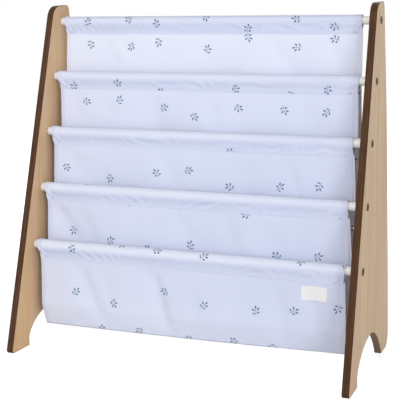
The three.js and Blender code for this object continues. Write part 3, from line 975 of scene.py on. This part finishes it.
# %% Layers
SEAM_DROP = 0.023  # from a rod's axis down to its seam
SEAM_FORWARD = 0.005  # how far the seam lies before the axis
SEWN_PITCH = 0.0006  # between the middles of two layers in a seam
LAYER_OFFSET = 0.00075  # half of the same once the layers hang free
LAYER_SPREAD = 0.001
SEAM_WAVE, FREE_WAVE = 0.0008, 0.0024  # depth of the broad waves in a seam, and where the cloth hangs free
FREE_DROP = 0.060  # below the seam, where it hangs free
HEM_FREE_DROP = 0.010  # the same for the turn of its hems
HIDDEN_TOP = 0.0042  # how far a pocket's cloth reaches up into its seam


def layer_depth(seam, side, height, share):
    """The place in Y of a layer that hangs from a seam: side -1 is the front one and 1 the one behind it."""
    axis_depth, axis_height = rod_axes[seam]
    drop = axis_height - SEAM_DROP - height
    run = np.clip(drop / FREE_DROP, 0, 1)
    apart = lerp(SEWN_PITCH / 2, LAYER_OFFSET, ease(drop, 0.0, SEWN_REACH))
    if side > 0:
        apart = apart + LAYER_SPREAD * run
    wave = lerp(SEAM_WAVE, FREE_WAVE, run) * waves(BROAD_WAVES, share, seam)
    turn = hem_turn(share) * ease(drop, -HIDDEN_TOP, HEM_FREE_DROP)
    return axis_depth - SEAM_FORWARD + side * apart + wave - wrinkles(seam, share, drop) + turn


print("seams lie", SEAM_DROP * 1000, "mm below their rods")

# %% [markdown]
# A pocket's cloth follows its back layer down, goes round a small crease behind the next rod and comes up
# as the front layer. The layers are drawn together just above the crease, and a little smoothing takes
# the corners out of the route.

# %% The route of a pocket
FLOOR_CLEARANCE = 0.0317
CREASE_RADIUS = 0.0026
CREASE_SET_BACK = 0.018
BOTTOM_SAG, BOTTOM_RISE = 0.002, 0.0065  # of a crease: in its middle, and from left to right
TAPER_HEIGHT = 0.038  # the stretch above a crease in which the layers draw together
TAPER_CURVE = 1.25
HANG_STEPS, TAPER_STEPS, CREASE_STEPS = 70, 24, 10
POCKET_DROP = rod_axes[-1][1] - FLOOR_CLEARANCE


def soften(route, times):
    """Rounds the bends of a route without moving its ends."""
    for _ in range(times):
        route[:, 1:-1] = 0.25 * route[:, :-2] + 0.5 * route[:, 1:-1] + 0.25 * route[:, 2:]
    return route


def pocket_route(pocket, share):
    """The middle of a pocket's cloth in (Y, Z), in one column of points for each share of the width."""
    share = np.asarray(share)[:, None]
    lower_depth, lower_height = rod_axes[pocket + 1]
    crease_height = lower_height - POCKET_DROP - BOTTOM_SAG * bulge(share) + BOTTOM_RISE * share
    crease_depth = lower_depth - SEAM_FORWARD + LAYER_OFFSET + CREASE_SET_BACK
    bottom = crease_height + CREASE_RADIUS
    taper_top = bottom + TAPER_HEIGHT

    def hanging(seam, side, crease_side):
        """One layer from its seam down to the crease, and drawn towards it near its end."""
        top = rod_axes[seam][1] - SEAM_DROP + HIDDEN_TOP
        free = lerp(top, taper_top, np.linspace(0, 1, HANG_STEPS)[None, :])
        tapered = lerp(taper_top, bottom, np.linspace(0, 1, TAPER_STEPS)[None, 1:])
        height = np.concatenate([free, tapered], 1)
        pull = np.clip((taper_top - height) / TAPER_HEIGHT, 0, 1) ** TAPER_CURVE
        tight = crease_depth + crease_side * CREASE_RADIUS
        return np.stack([lerp(layer_depth(seam, side, height, share), tight, pull), height], -1)

    angle = np.linspace(0, math.pi, CREASE_STEPS + 1)[None, 1:-1]
    round_bottom = np.stack(np.broadcast_arrays(
        crease_depth + CREASE_RADIUS * np.cos(angle),
        bottom - CREASE_RADIUS * np.sin(angle),
    ), -1)
    route = np.concatenate([hanging(pocket, -1, 1), round_bottom, hanging(pocket + 1, 1, -1)[:, ::-1]], 1)
    return soften(route, 4)


print("pocket drop:", round(POCKET_DROP, 4), "m, cloth width", round(CLOTH_WIDTH, 4), "m")

# %% [markdown]
# ## From a route to a piece of cloth
# A plane with a Solidify modifier gives cloth of one thickness. Real hems are folded twice and stand
# thicker, so the shell is built here: a grid of middle points, pushed out both ways by half of its own
# thickness at each point, and thinned at its border so that the edge is round. The grid's columns are the
# same for every piece of the sling, and lie closer in the hems.

# %% Columns across the cloth
HEM_WIDTH = 0.009
HEM_BLEND = 0.0004  # to each side of the hem's inner fold
HEM_STITCH_INSET = 0.0016  # of the stitches, from that fold
THIN_EDGE = 0.15  # share of the thickness at the very edge
EDGE_PLACES = (0.0, 0.00012, 0.00035, 0.0008)
FOLD_PLACES = (-0.0008, -0.0003, 0.0003, 0.0009)  # from the hem's inner fold
HEM_PLACES = (*EDGE_PLACES, 0.0022, 0.0040, 0.0058, 0.0072, *(HEM_WIDTH + place for place in FOLD_PLACES))
COLUMN_PITCH = 0.0044


def spaced(length, border, count):
    """Places along a length: the border's at both ends, and evenly spaced ones between."""
    inner = np.linspace(border[-1], length - border[-1], count)
    return np.array([*border[:-1], *inner, *(length - place for place in border[-2::-1])])


def edge_round(distance):
    """The share of the full thickness at a distance from a cut or folded edge."""
    near = np.clip(distance / EDGE_PLACES[-1], 0, 1)
    return lerp(THIN_EDGE, 1, np.sqrt(1 - (1 - near) ** 2))


ACROSS = spaced(CLOTH_WIDTH, HEM_PLACES, int((CLOTH_WIDTH - 2 * HEM_PLACES[-1]) / COLUMN_PITCH))[:, None]
SHARES = ACROSS / CLOTH_WIDTH
FROM_SIDE = np.minimum(ACROSS, CLOTH_WIDTH - ACROSS)
HEMS = 1 - ease(FROM_SIDE, HEM_WIDTH - HEM_BLEND, HEM_WIDTH + HEM_BLEND)  # 1 in the doubled side hems
HEM_COLUMN = int(np.searchsorted(ACROSS[:, 0], HEM_WIDTH - HEM_STITCH_INSET))
print("columns across the cloth:", len(ACROSS))

# %% [markdown]
# Each surface of the shell is handed on with its way out, for the stitches that will lie on it. A route is
# first laid out anew, so that its rows of points are evenly far apart along the cloth.

# %% Pieces of cloth
CLOTH = 0.00055
HEM_THICKNESS = 0.0013
STITCH_DIP, STITCH_DIP_WIDTH = 0.45, 0.0007  # a share of the thickness, and metres


def cloth_mesh(name, middle, thickness, flat, painted_shade):
    """A closed shell round a grid of middle points, and its two surfaces, each with its way out."""
    out = np.cross(np.gradient(middle, axis=0), np.gradient(middle, axis=1))
    out /= np.linalg.norm(out, axis=2)[:, :, None]
    half = (thickness / 2)[:, :, None] * out
    surfaces = (middle + half, out), (middle - half, -out)
    points = np.concatenate([surface.reshape(-1, 3) for surface, _ in surfaces])
    index = np.arange(thickness.size).reshape(thickness.shape)
    a, b, c, d = (part.ravel() for part in (index[:-1, :-1], index[1:, :-1], index[1:, 1:], index[:-1, 1:]))
    faces = np.concatenate([np.stack([a, b, c, d], 1), np.stack([d, c, b, a], 1) + index.size]).tolist()
    border = np.concatenate([index[:, 0], index[-1, 1:], index[-2::-1, -1], index[0, -2:0:-1]])
    following = np.roll(border, -1)
    faces += np.stack([following, border, border + index.size, following + index.size], 1).tolist()
    # The second attribute is the cloth's painted shade: how much deeper its colour is painted for shade and
    # for less light coming through.
    carried = {"flat_place": np.tile(flat.reshape(-1, 3), (2, 1)), "painted_shade": np.tile(painted_shade.ravel(), 2)}
    return closed_mesh(name, points, faces, carried), *surfaces


def laid_out(route, pitch):
    """A route with its points spaced anew, how far each lies along it, and its mean length."""
    steps = np.linalg.norm(np.diff(route, axis=1), axis=2)
    along = np.concatenate([np.zeros((len(route), 1)), np.cumsum(steps, 1)], 1)
    length = steps.sum(1).mean()
    shares = spaced(length, EDGE_PLACES, int(length / pitch)) / length
    metres = shares * along[:, -1:]
    spaced_route = [
        np.stack([np.interp(wanted, distance, line[:, axis]) for axis in (0, 1)], -1)
        for line, distance, wanted in zip(route, along, metres)
    ]
    return np.array(spaced_route), metres, length


def sling_mesh(name, middle, metres, print_start, painted_shade):
    """A hemmed length of the sling: thicker in its side hems, with a small dip where their stitches pull."""
    dip = np.exp(-(((FROM_SIDE - HEM_WIDTH + HEM_STITCH_INSET) / STITCH_DIP_WIDTH) ** 2))
    thickness = CLOTH + (HEM_THICKNESS - CLOTH) * HEMS * (1 - STITCH_DIP * dip)
    thickness = thickness * edge_round(FROM_SIDE) * edge_round(np.minimum(metres, metres[:, -1:] - metres))
    flat = np.stack(np.broadcast_arrays(ACROSS, metres + print_start, 0.0), -1)
    return cloth_mesh(name, middle, thickness, flat, painted_shade)


print("cloth:", CLOTH * 1000, "mm thick, and", HEM_THICKNESS * 1000, "mm in its hems")

# %% [markdown]
# ## Thread
# The thread is a shade deeper than the cloth, and the bar tacks have a darker thread material of their
# own. Thread is twisted, which a slanting wave in its bump shows: a twist in the mesh would cost thousands
# of faces.

# %% Thread
THREAD_TWIST = 9000.0  # radians in a metre


def thread_finish(name, deep, pale):
    shade = new_shade(name)
    place = shade.place()
    lint = shade.noise(place, 2400.0, 2.0)
    twist = shade.maths("SINE", (shade.axis(place, 0) + shade.axis(place, 2)) * THREAD_TWIST)
    return shade.finish(shade.mix(lint, deep, pale), 0.6 + lint * 0.2, shade.bump(twist, 0.00005))


thread = thread_finish("sewing_thread", (0.60, 0.62, 0.79), (0.70, 0.72, 0.86))
tack_thread = thread_finish("tack_thread", (0.42, 0.44, 0.62), (0.52, 0.54, 0.71))
print("threads:", thread.name, tack_thread.name)

# %% [markdown]
# A lock stitch shows as a row of short, round-ended dashes that press into the cloth. Each stitch is a
# small spindle with its axis along the row, and a whole row is joined into one mesh.

# %% Stitches
STITCH_LENGTH, STITCH_PITCH = 0.0027, 0.0036
STITCH_ARCH, STITCH_SINK = 0.55, 0.25  # in thread radii: of its middle, and of the ends into the cloth
THREAD_RADIUS = 0.00022
THREAD_SIDES = 5
SPINDLE = ((-0.5, 0.0), (-0.36, 0.85), (0.0, 1.0), (0.36, 0.85), (0.5, 0.0))  # shares of length and radius
LONGEST_ROW = 1.0  # metres, more than any row has
TACK_START = 0.0095  # of a bar tack, from the cloth's side edge
TACK_WIDTH, TACK_HEIGHT, TACK_PITCH = 0.0060, 0.0016, 0.00038


def along_line(line, away, places):
    """The middle, direction and way out at each of the places, in metres along a line of points."""
    distance = np.concatenate([[0], np.cumsum(np.linalg.norm(np.diff(line, axis=0), axis=1))])
    wanted = places[(places > distance[0]) & (places < distance[-1] - THREAD_RADIUS)]

    def at(values, where):
        return np.stack([np.interp(where, distance, values[:, i]) for i in range(3)], 1)

    def unit(vectors):
        return vectors / np.linalg.norm(vectors, axis=1)[:, None]

    middle = at(line, wanted)
    return middle, unit(at(line, wanted + THREAD_RADIUS) - middle), unit(at(away, wanted))


def spindles(middles, aheads, outs, length):
    """Round-ended stitches at the given middles, as points and faces."""
    angles = np.linspace(0, math.tau, THREAD_SIDES, endpoint=False)
    spots, rings = [], []
    for along, girth in SPINDLE:
        around = angles if girth else angles[:1]
        numbers = list(range(len(spots), len(spots) + len(around)))
        rings.append(numbers * (THREAD_SIDES // len(numbers)))
        reach, rise = THREAD_RADIUS * girth, THREAD_RADIUS * (STITCH_ARCH * girth - STITCH_SINK)
        spots += [(along * length, reach * math.cos(t), reach * math.sin(t) + rise) for t in around]
    along, sideways, up = np.array(spots).T[:, None, :, None]
    sides = np.cross(aheads, outs)
    points = middles[:, None] + aheads[:, None] * along + sides[:, None] * sideways + outs[:, None] * up
    starts = range(0, len(middles) * len(spots), len(spots))
    faces = [tuple(number + start for number in face) for start in starts for face in skinned(rings)]
    return points.reshape(-1, 3), faces


def stitch_row(line, away):
    """A row of dashes along a line of points, on the side that the second argument points to."""
    places = np.arange(STITCH_PITCH, LONGEST_ROW, STITCH_PITCH)
    return spindles(*along_line(line, away, places), STITCH_LENGTH)


def bar_tack(line, away, start):
    """A short dense bar of upright stitches, which keeps a seam's end from tearing open."""
    middles, aheads, outs = along_line(line, away, start + np.arange(0, TACK_WIDTH, TACK_PITCH))
    return spindles(middles + outs * THREAD_RADIUS, np.cross(outs, aheads), outs, TACK_HEIGHT)


def add_stitches(name, rows, slot="sling_cloth", colour=thread):
    """Joins rows of stitches into one piece of thread."""
    faces, count = [], 0
    for row_points, row_faces in rows:
        faces += [tuple(index + count for index in face) for face in row_faces]
        count += len(row_points)
    mesh = closed_mesh(name, np.concatenate([row_points for row_points, _ in rows]), faces)
    return add_piece(mesh, [colour], slot)


print("stitch pitch:", STITCH_PITCH * 1000, "mm")

# %% [markdown]
# ## The sleeves
# A sleeve is a strip of the sling that goes up over a rod and down again, and is sewn to itself below it.
# In section it is a drop: round over the rod, and straight to the seam.

# %% The section of a sleeve
SEAM_ALLOWANCE = 0.005
SLEEVE_GAP = 0.0009
SLEEVE_LEAVE = 0.26  # radians below the rod's foremost point, where the cloth's front leaves the rod
SLEEVE_HANG = 0.6  # length of the front's two handles, as a share of its own length
SLEEVE_LAYER = 1.5 * SEWN_PITCH  # from the seam's middle to the sleeve's front or back
ARC_STEPS, SIDE_STEPS, ALLOWANCE_STEPS = 26, 14, 6


def sleeve_route(seam, share):
    """The sleeve's middle in (Y, Z) from the rod's axis, up its front, over the rod and down its back."""
    low, high = rod_boxes[seam]
    radius = (high.z - low.z) / 2 + SLEEVE_GAP + HEM_THICKNESS / 2
    shift = SEAM_WAVE * waves(BROAD_WAVES, share, seam)
    neck = np.array([-SEAM_FORWARD + shift, -SEAM_DROP + SEAM_ALLOWANCE])
    front = neck - (SLEEVE_LAYER, 0)
    back = neck + (SLEEVE_LAYER, 0)
    back_angle = math.atan2(back[1], back[0]) + math.acos(radius / np.linalg.norm(back))
    angles = np.linspace(math.pi + SLEEVE_LEAVE, back_angle, ARC_STEPS)
    arc = radius * np.stack([np.cos(angles), np.sin(angles)], 1)
    handle = SLEEVE_HANG * np.linalg.norm(arc[0] - front)
    allowance = np.linspace(1, 0, ALLOWANCE_STEPS + 1)[:, None] * (0, -SEAM_ALLOWANCE)
    rise = np.linspace(0, 1, SIDE_STEPS)[1:-1, None]
    return np.concatenate([
        front + allowance,
        cubic(front, front + (0, handle), arc[0] - (0, handle), arc[0], rise),
        arc,
        lerp(arc[-1], back, rise),
        back + allowance[::-1],
    ])


print("points round a sleeve:", len(sleeve_route(0, 0.5)))

# %% [markdown]
# The seam draws the front of the drop into slanting creases, most at the left end. The sleeve's colour
# has painted shade too: little over the rod, with painted light from the white paint coming through,
# and full in the band below it, where the cloth faces down.

# %% Creases and layers of a sleeve
SLEEVE_LEAN = 0.62
SLEEVE_WANDER = ((1.1, 31, 2), (0.8, 67, 1))
SLEEVE_PITCH_WAVES = ((0.18, 23, 1),)
SLEEVE_CREASE_WAVES = ((0.0003, 17, 3),)
SLEEVE_CREASE = 0.00095
LEFT_END_CREASE, LEFT_END = 0.0010, 0.09  # what the left end adds, and how far in from it
CREASE_BOTTOM, CREASE_TOP = (0.003, 0.009), (0.014, 0.024)  # heights between which the creases fade
# Painted shade of a sleeve: its colour is deeper in the band below the rod, at the seam, towards the right
# end and in the doubled hems, and paler over the rod.
OVER_ROD_PAINTED_SHADE = (0.42, 0.25, 0.25, 0.10, 0.0)  # painted shade of each sleeve over its rod: low, for painted light from the white paint below
BELOW_ROD_PAINTED_SHADE, SEWN_PAINTED_SHADE = 1.1, 0.75  # painted shade in the band below the rod, where the cloth faces down, and at the seam
ROD_FADE, BAND_START = (-0.002, 0.010), 0.012  # drops below the rod's axis, where these take over
SLEEVE_END_PAINTED_SHADE = 0.55  # painted shade added towards the right end
SLEEVE_HEM_PAINTED_SHADE = 0.65


def sleeve_creases(seam, height):
    """How far the front of a sleeve stands out, at a height above its lower edge."""
    pitch = PUCKER_PITCH * (1 + waves(SLEEVE_PITCH_WAVES, ACROSS, seam))
    angle = math.tau * (ACROSS + SLEEVE_LEAN * height) / pitch
    ripple = np.sin(angle + waves(SLEEVE_WANDER, ACROSS, seam))
    strength = SLEEVE_CREASE + LEFT_END_CREASE * np.exp(-ACROSS / LEFT_END)
    strength = strength + waves(SLEEVE_CREASE_WAVES, ACROSS, seam)
    return strength * ripple * ease(height, *CREASE_BOTTOM) * (1 - ease(height, *CREASE_TOP))


def sleeve_painted_shade(seam, drop):
    """How much painted shade a sleeve has, at a drop below its rod's axis."""
    band = lerp(BELOW_ROD_PAINTED_SHADE, SEWN_PAINTED_SHADE, ease(drop, BAND_START, SEAM_DROP))
    painted_shade = lerp(OVER_ROD_PAINTED_SHADE[seam], band, ease(drop, *ROD_FADE)) + SLEEVE_END_PAINTED_SHADE * SHARES**3
    return np.maximum(painted_shade, SLEEVE_HEM_PAINTED_SHADE * HEMS)


print("creases along a sleeve: about", round(CLOTH_WIDTH / PUCKER_PITCH))

# %% [markdown]
# The ends of a sleeve lean out a little towards the rod. Each sleeve gets the stitches of its seam and of
# its hems, and a bar tack at both ends of the seam, on both sides.

# %% Sleeves
LEFT_FLARE = 0.0055  # at the rod, past the pockets' left edge
RIGHT_FLARES = (0.0002, 0.0030, 0.0006, 0.0006, 0.0034)  # the same at the right, for each sleeve
SLEEVE_ROW_PITCH = 0.0026
SEAM_ROW = 0.0026  # the stitches' height above the sleeve's lower edge
SLEEVE_PRINT_STEP, PRINT_START = 0.324, 0.02  # on the uncut cloth, so that each sleeve has its own twigs


def add_sleeve(seam):
    route = soften(np.array([sleeve_route(seam, share) for share in SHARES[:, 0]]), 3)
    route, metres, length = laid_out(route, SLEEVE_ROW_PITCH)
    depth, height = route[:, :, 0], route[:, :, 1]
    wide = lerp(cloth_left - LEFT_FLARE, cloth_right + RIGHT_FLARES[seam], SHARES)
    x = lerp(lerp(cloth_left, cloth_right, SHARES), wide, 1 - np.clip(-height / SEAM_DROP, 0, 1))
    y = rod_axes[seam][0] + depth - sleeve_creases(seam, metres)
    middle = np.stack([x, y, rod_axes[seam][1] + height], -1)
    print_start = SLEEVE_PRINT_STEP * seam + PRINT_START
    name = f"cloth_sleeve_{seam + 1}"
    mesh, (outer, way), _ = sling_mesh(name, middle, metres, print_start, sleeve_painted_shade(seam, -height))
    piece = add_piece(mesh, [cloth_finish], "sling_cloth", f"sleeve_{seam + 1}")
    row = int(np.searchsorted(metres.mean(0), SEAM_ROW))
    seams = [(outer[:, r], way[:, r]) for r in (row, -1 - row)]
    hems = [(outer[c], way[c]) for c in (HEM_COLUMN, -1 - HEM_COLUMN)]
    seam_length = np.linalg.norm(np.diff(outer[:, row], axis=0), axis=1).sum()
    starts = (TACK_START, seam_length - TACK_START - TACK_WIDTH)
    tacks = [bar_tack(*line, start) for start in starts for line in seams]
    stitches = [
        add_stitches(f"seam_thread_{seam + 1}", [stitch_row(*line) for line in seams + hems]),
        add_stitches(f"bar_tacks_{seam + 1}", tacks, "sling_cloth", tack_thread),
    ]
    width = CLOTH_WIDTH + LEFT_FLARE + RIGHT_FLARES[seam]
    print(f"sleeve {seam + 1}: {width * 1000:.0f} by {length * 1000:.0f} mm flat")


for seam in range(ROD_COUNT):
    add_sleeve(seam)

# %% [markdown]
# ## The pockets
# A pocket is one length of the sling. It goes down behind the next rod, round a crease, and up to the
# seam of that rod, so it shows as a deep fold from the side. Its side edges hang free and swing out a
# little. Its colour is painted paler where light comes through a single layer, and has painted shade
# where other layers hang close behind it, near the crease, in the hems and towards the right end.

# %% Edges and layers of a pocket
# Painted shade of a pocket: its colour is deeper where other layers hang close behind it, near the crease,
# in the hems and towards the right end, and paler where light comes through a single layer.
POCKET_PAINTED_SHADE = ((0.05, 0.40), (0.42, 0.80), (0.60, 1.0), (0.60, 1.0))  # painted shade of each back layer, at both ends: paler for light through one layer, deeper towards the right end
FRONT_PAINTED_SHADE = ((0.50, 0.0), (0.50, 0.0), (0.50, 0.0), (0.48, 1.0))  # painted shade of each front layer, at both ends
CREASE_PAINTED_SHADE = (0.32, 0.90)  # painted shade near the crease, at both ends
CREASE_BEGINS, FRONT_BEGINS = (0.19, 0.23), (0.25, 0.32)  # metres along the cloth, where these take over
POCKET_HEM_PAINTED_SHADE = 0.25  # painted shade that a doubled hem adds
FLARE_PLACES = (0.0, 0.09, 0.18, 0.225, 0.29, 0.34)  # metres along the cloth, down and up again
LEFT_EDGE_FLARES = (  # how far each pocket's left edge swings out at those places
    (0.0004, 0.0032, 0.0032, 0.0, 0.0, 0.0),
    (0.0, 0.0008, 0.0014, 0.0, 0.0, 0.0),
    (0.0, 0.0014, 0.0020, 0.0, 0.0, 0.0),
    (0.0, 0.0014, 0.0020, 0.0010, 0.0016, 0.0010),
)
RIGHT_EDGE_FLARES = (  # how far each pocket's right edge swings out at those places
    (0.0015, 0.0006, 0.0020, 0.0, 0.0, 0.0),
    (0.0018, 0.0030, 0.0044, 0.0052, 0.0040, 0.0026),
    (0.0, 0.0005, 0.0060, 0.0078, 0.0060, 0.0030),
    (0.0008, 0.0034, 0.0050, 0.0055, 0.0048, 0.0034),
)
FLARE_REACH_SHARE = 0.4  # of the cloth's width, from each side


def edge_flare(pocket, distance):
    """How far a pocket's cloth is shifted in X by its swinging side edges, at a distance along the cloth."""
    right = np.clip(1 - (1 - SHARES) / FLARE_REACH_SHARE, 0, 1) ** 2
    left = np.clip(1 - SHARES / FLARE_REACH_SHARE, 0, 1) ** 2
    out_right = np.interp(distance, FLARE_PLACES, RIGHT_EDGE_FLARES[pocket])
    out_left = np.interp(distance, FLARE_PLACES, LEFT_EDGE_FLARES[pocket])
    return right * out_right - left * out_left


def pocket_painted_shade(pocket, distance):
    """How much painted shade a pocket has, at a distance along the cloth."""
    levels = POCKET_PAINTED_SHADE[pocket], CREASE_PAINTED_SHADE, FRONT_PAINTED_SHADE[pocket]
    behind, crease, front = (lerp(*both_ends, SHARES**2) for both_ends in levels)
    painted_shade = lerp(behind, crease, ease(distance, *CREASE_BEGINS))
    return lerp(painted_shade, front, ease(distance, *FRONT_BEGINS)) + POCKET_HEM_PAINTED_SHADE * HEMS


print("widest swing:", max(max(row) for row in RIGHT_EDGE_FLARES) * 1000, "mm")

# %% [markdown]
# Both side edges have a stitched hem, and its stitches show on both sides of the cloth.

# %% Pockets
ROW_PITCH = 0.0040
POCKET_PRINT_STEP = 0.445


def add_pocket(pocket):
    route, metres, length = laid_out(pocket_route(pocket, SHARES[:, 0]), ROW_PITCH)
    x = lerp(cloth_left, cloth_right, SHARES) + edge_flare(pocket, metres)
    middle = np.concatenate([x[:, :, None], route], 2)
    print_start = POCKET_PRINT_STEP * pocket + PRINT_START
    name = f"cloth_pocket_{pocket + 1}"
    mesh, *surfaces = sling_mesh(name, middle, metres, print_start, pocket_painted_shade(pocket, metres))
    piece = add_piece(mesh, [cloth_finish], "sling_cloth", f"pocket_{pocket + 1}")
    columns = HEM_COLUMN, -1 - HEM_COLUMN
    rows = [stitch_row(points[c], way[c]) for c in columns for points, way in surfaces]
    stitches = add_stitches(f"hem_thread_{pocket + 1}", rows)
    print(f"pocket {pocket + 1}: {CLOTH_WIDTH * 1000:.0f} by {length * 1000:.0f} mm flat")


for pocket in range(ROD_COUNT - 1):
    add_pocket(pocket)

# %% [markdown]
# ## The label
# A small off-white ribbon is sewn on near the right end of the lowest pocket. It is left bare. It follows
# the folds of the cloth under it, stands off by its own thickness, and lifts slightly at its corners.

# %% Label
LABEL_THICKNESS = 0.0006
LABEL_GAP = 0.0002
LABEL_CORNER_LIFT = 0.0005
LABEL_SEAM = 0.0018  # from the ribbon's ends
LABEL_COLUMNS, LABEL_ROWS = 30, 18
RIB_PITCH, RIB_THREAD_PITCH = 0.0006, 0.0004


def ribbon():
    shade = new_shade("label_cloth")
    flat = shade.carried("flat_place", "Vector")
    ribs = shade.maths("SINE", shade.axis(flat, 1) * (math.tau / RIB_PITCH))
    threads = shade.maths("SINE", shade.axis(flat, 0) * (math.tau / RIB_THREAD_PITCH))
    lint = shade.noise(flat, 500.0, 3.0)
    colour = shade.mix(lint, (0.81, 0.815, 0.81), (0.89, 0.895, 0.885))
    normal = shade.bump(ribs + threads * 0.4, 0.00006)
    return shade.finish(colour, 0.55 + lint * 0.2, normal, {"Sheen Weight": 0.15})


label_low, label_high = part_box("label")
label_size = (label_high.x - label_low.x, label_high.z - label_low.z)
across = spaced(label_size[0], EDGE_PLACES, LABEL_COLUMNS)[:, None]
down = spaced(label_size[1], EDGE_PLACES, LABEL_ROWS)[None, :]
x, z = label_low.x + across, label_high.z - down
corner = (2 * across / label_size[0] - 1) ** 4 * (2 * down / label_size[1] - 1) ** 4
stand_off = (CLOTH + LABEL_THICKNESS) / 2 + LABEL_GAP + LABEL_CORNER_LIFT * corner
depth = layer_depth(ROD_COUNT - 1, 1, z, (x - cloth_left) / CLOTH_WIDTH) - stand_off
middle = np.stack(np.broadcast_arrays(x, depth, z), -1)
edges = np.minimum(across, label_size[0] - across), np.minimum(down, label_size[1] - down)
thickness = LABEL_THICKNESS * edge_round(edges[0]) * edge_round(edges[1])
flat = np.stack(np.broadcast_arrays(x, z, 0.0), -1)
mesh, _, (facing, way) = cloth_mesh("ribbon_label", middle, thickness, flat, np.zeros(thickness.shape))
label = add_piece(mesh, [ribbon()], "label_cloth", "label")
left = int(np.searchsorted(across[:, 0], LABEL_SEAM))
rows = [stitch_row(facing[c], way[c]) for c in (left, -1 - left)]
label_thread = add_stitches("label_thread", rows, "label_cloth")
print(f"label: {label_size[0] * 1000:.0f} by {label_size[1] * 1000:.0f} mm")

# %% [markdown]
# ## The floor
# The shelf stands in a plain studio, on a matt white sheet. What the camera sees of the floor is lifted
# to white by a little light of its own, but the shelf's soft shadow stays near the feet.

# %% Floor
FLOOR_SIZE = 8.0
FLOOR_LIFT = 0.77  # light added to the floor for the camera alone
LIFT_START, LIFT_END = 0.45, 1.2  # metres from the middle, between which the lift grows to full white
WHITE, GREY = (1, 1, 1), (0.5, 0.5, 0.5)


def floor_finish():
    shade = new_shade("studio_floor")
    place = shade.place()
    seen = shade.node("LightPath", {}, {}, "Is Camera Ray")
    mottle = shade.mix(shade.noise(place, 6.0, 2.0), (0.79, 0.79, 0.79), (0.81, 0.81, 0.81))
    sheet = shade.node("BsdfDiffuse", {}, {"Color": mottle})
    dull = shade.node("BsdfDiffuse", {}, {"Color": GREY})
    lift = shade.ease(shade.length(place), LIFT_START, LIFT_END, FLOOR_LIFT, 1.0)
    glow = shade.node("Emission", {}, {"Color": WHITE, "Strength": lift})
    lifted = shade.node("AddShader", {}, {0: dull, 1: glow})
    return shade.show(shade.node("MixShader", {}, {0: seen, 1: sheet, 2: lifted}))


floor_mesh = bpy.data.meshes.new("studio_floor")
half = FLOOR_SIZE / 2
floor_corners = [(-half, -half, 0), (half, -half, 0), (half, half, 0), (-half, half, 0)]
floor_mesh.from_pydata(floor_corners, [], [(0, 1, 2, 3)])
floor_mesh.materials.append(floor_finish())
floor = bpy.data.objects.new("studio_floor", floor_mesh)
bpy.context.scene.collection.objects.link(floor)
print("floor:", FLOOR_SIZE, "m across")

# %% [markdown]
# ## The light
# A large soft lamp hangs above the front, and a dim world fills the shadows. The boards' faces look to
# the right, where they would stay dark, so a second soft lamp stands at the front right: its light
# reaches the left board through the gap beside the cloth, and the right board dims the cloth's right end
# a little. A weak low lamp in front lightens the shadows at the cloth's right end, where the boards shade
# the other lamps. Another stands exactly beside the shelf, where its light strokes past the right board's
# front edge and leaves the cloth alone. A lamp behind keeps the shelf readable from the back. The world
# is white for the camera, and for what gloss and glass show, but dim and bluish as a light.

# %% Light
WORLD_LEVEL = 0.24  # what the pieces receive from all round
WORLD_TINT = (0.88, 0.93, 1.0)
AIM = (0, 0, 0.3)
LAMPS = {  # place, size, power
    "key": ((-0.45, -3.40, 2.03), 1.8, 69.0),
    "right": ((2.6, -2.4, 0.9), 1.2, 39.0),
    "low": ((1.0, -2.60, 0.50), 0.6, 7.0),
    "side": ((3.0, -0.34, 0.36), 0.3, 3.0),
    "back": ((-0.6, 2.4, 1.7), 1.6, 40.0),
}


def studio_world():
    shade = Shade(bpy.data.worlds.new("studio"))
    seen = 0.0
    for ray in ("Camera", "Glossy", "Transmission"):
        seen = shade.maths("MAXIMUM", seen, shade.node("LightPath", {}, {}, f"Is {ray} Ray"))
    inputs = {"Color": shade.mix(seen, WORLD_TINT, WHITE), "Strength": lerp(WORLD_LEVEL, 1.0, seen)}
    return shade.show(shade.node("Background", {}, inputs), "OutputWorld")


def add_lamp(name, place, size, power):
    """A square soft lamp that looks at the shelf."""
    lamp = bpy.data.lights.new(name, "AREA")
    lamp.size = size
    lamp.energy = power
    lamp_object = bpy.data.objects.new(name, lamp)
    lamp_object.location = place
    lamp_object.rotation_euler = (Vector(AIM) - Vector(place)).to_track_quat("-Z", "Y").to_euler()
    bpy.context.scene.collection.objects.link(lamp_object)


bpy.context.scene.world = studio_world()
for lamp_name, lamp_values in LAMPS.items():
    add_lamp(lamp_name, *lamp_values)
bpy.context.scene.view_settings.view_transform = "Standard"
print("lamps:", {lamp_name: f"{power} W" for lamp_name, (_, _, power) in LAMPS.items()})
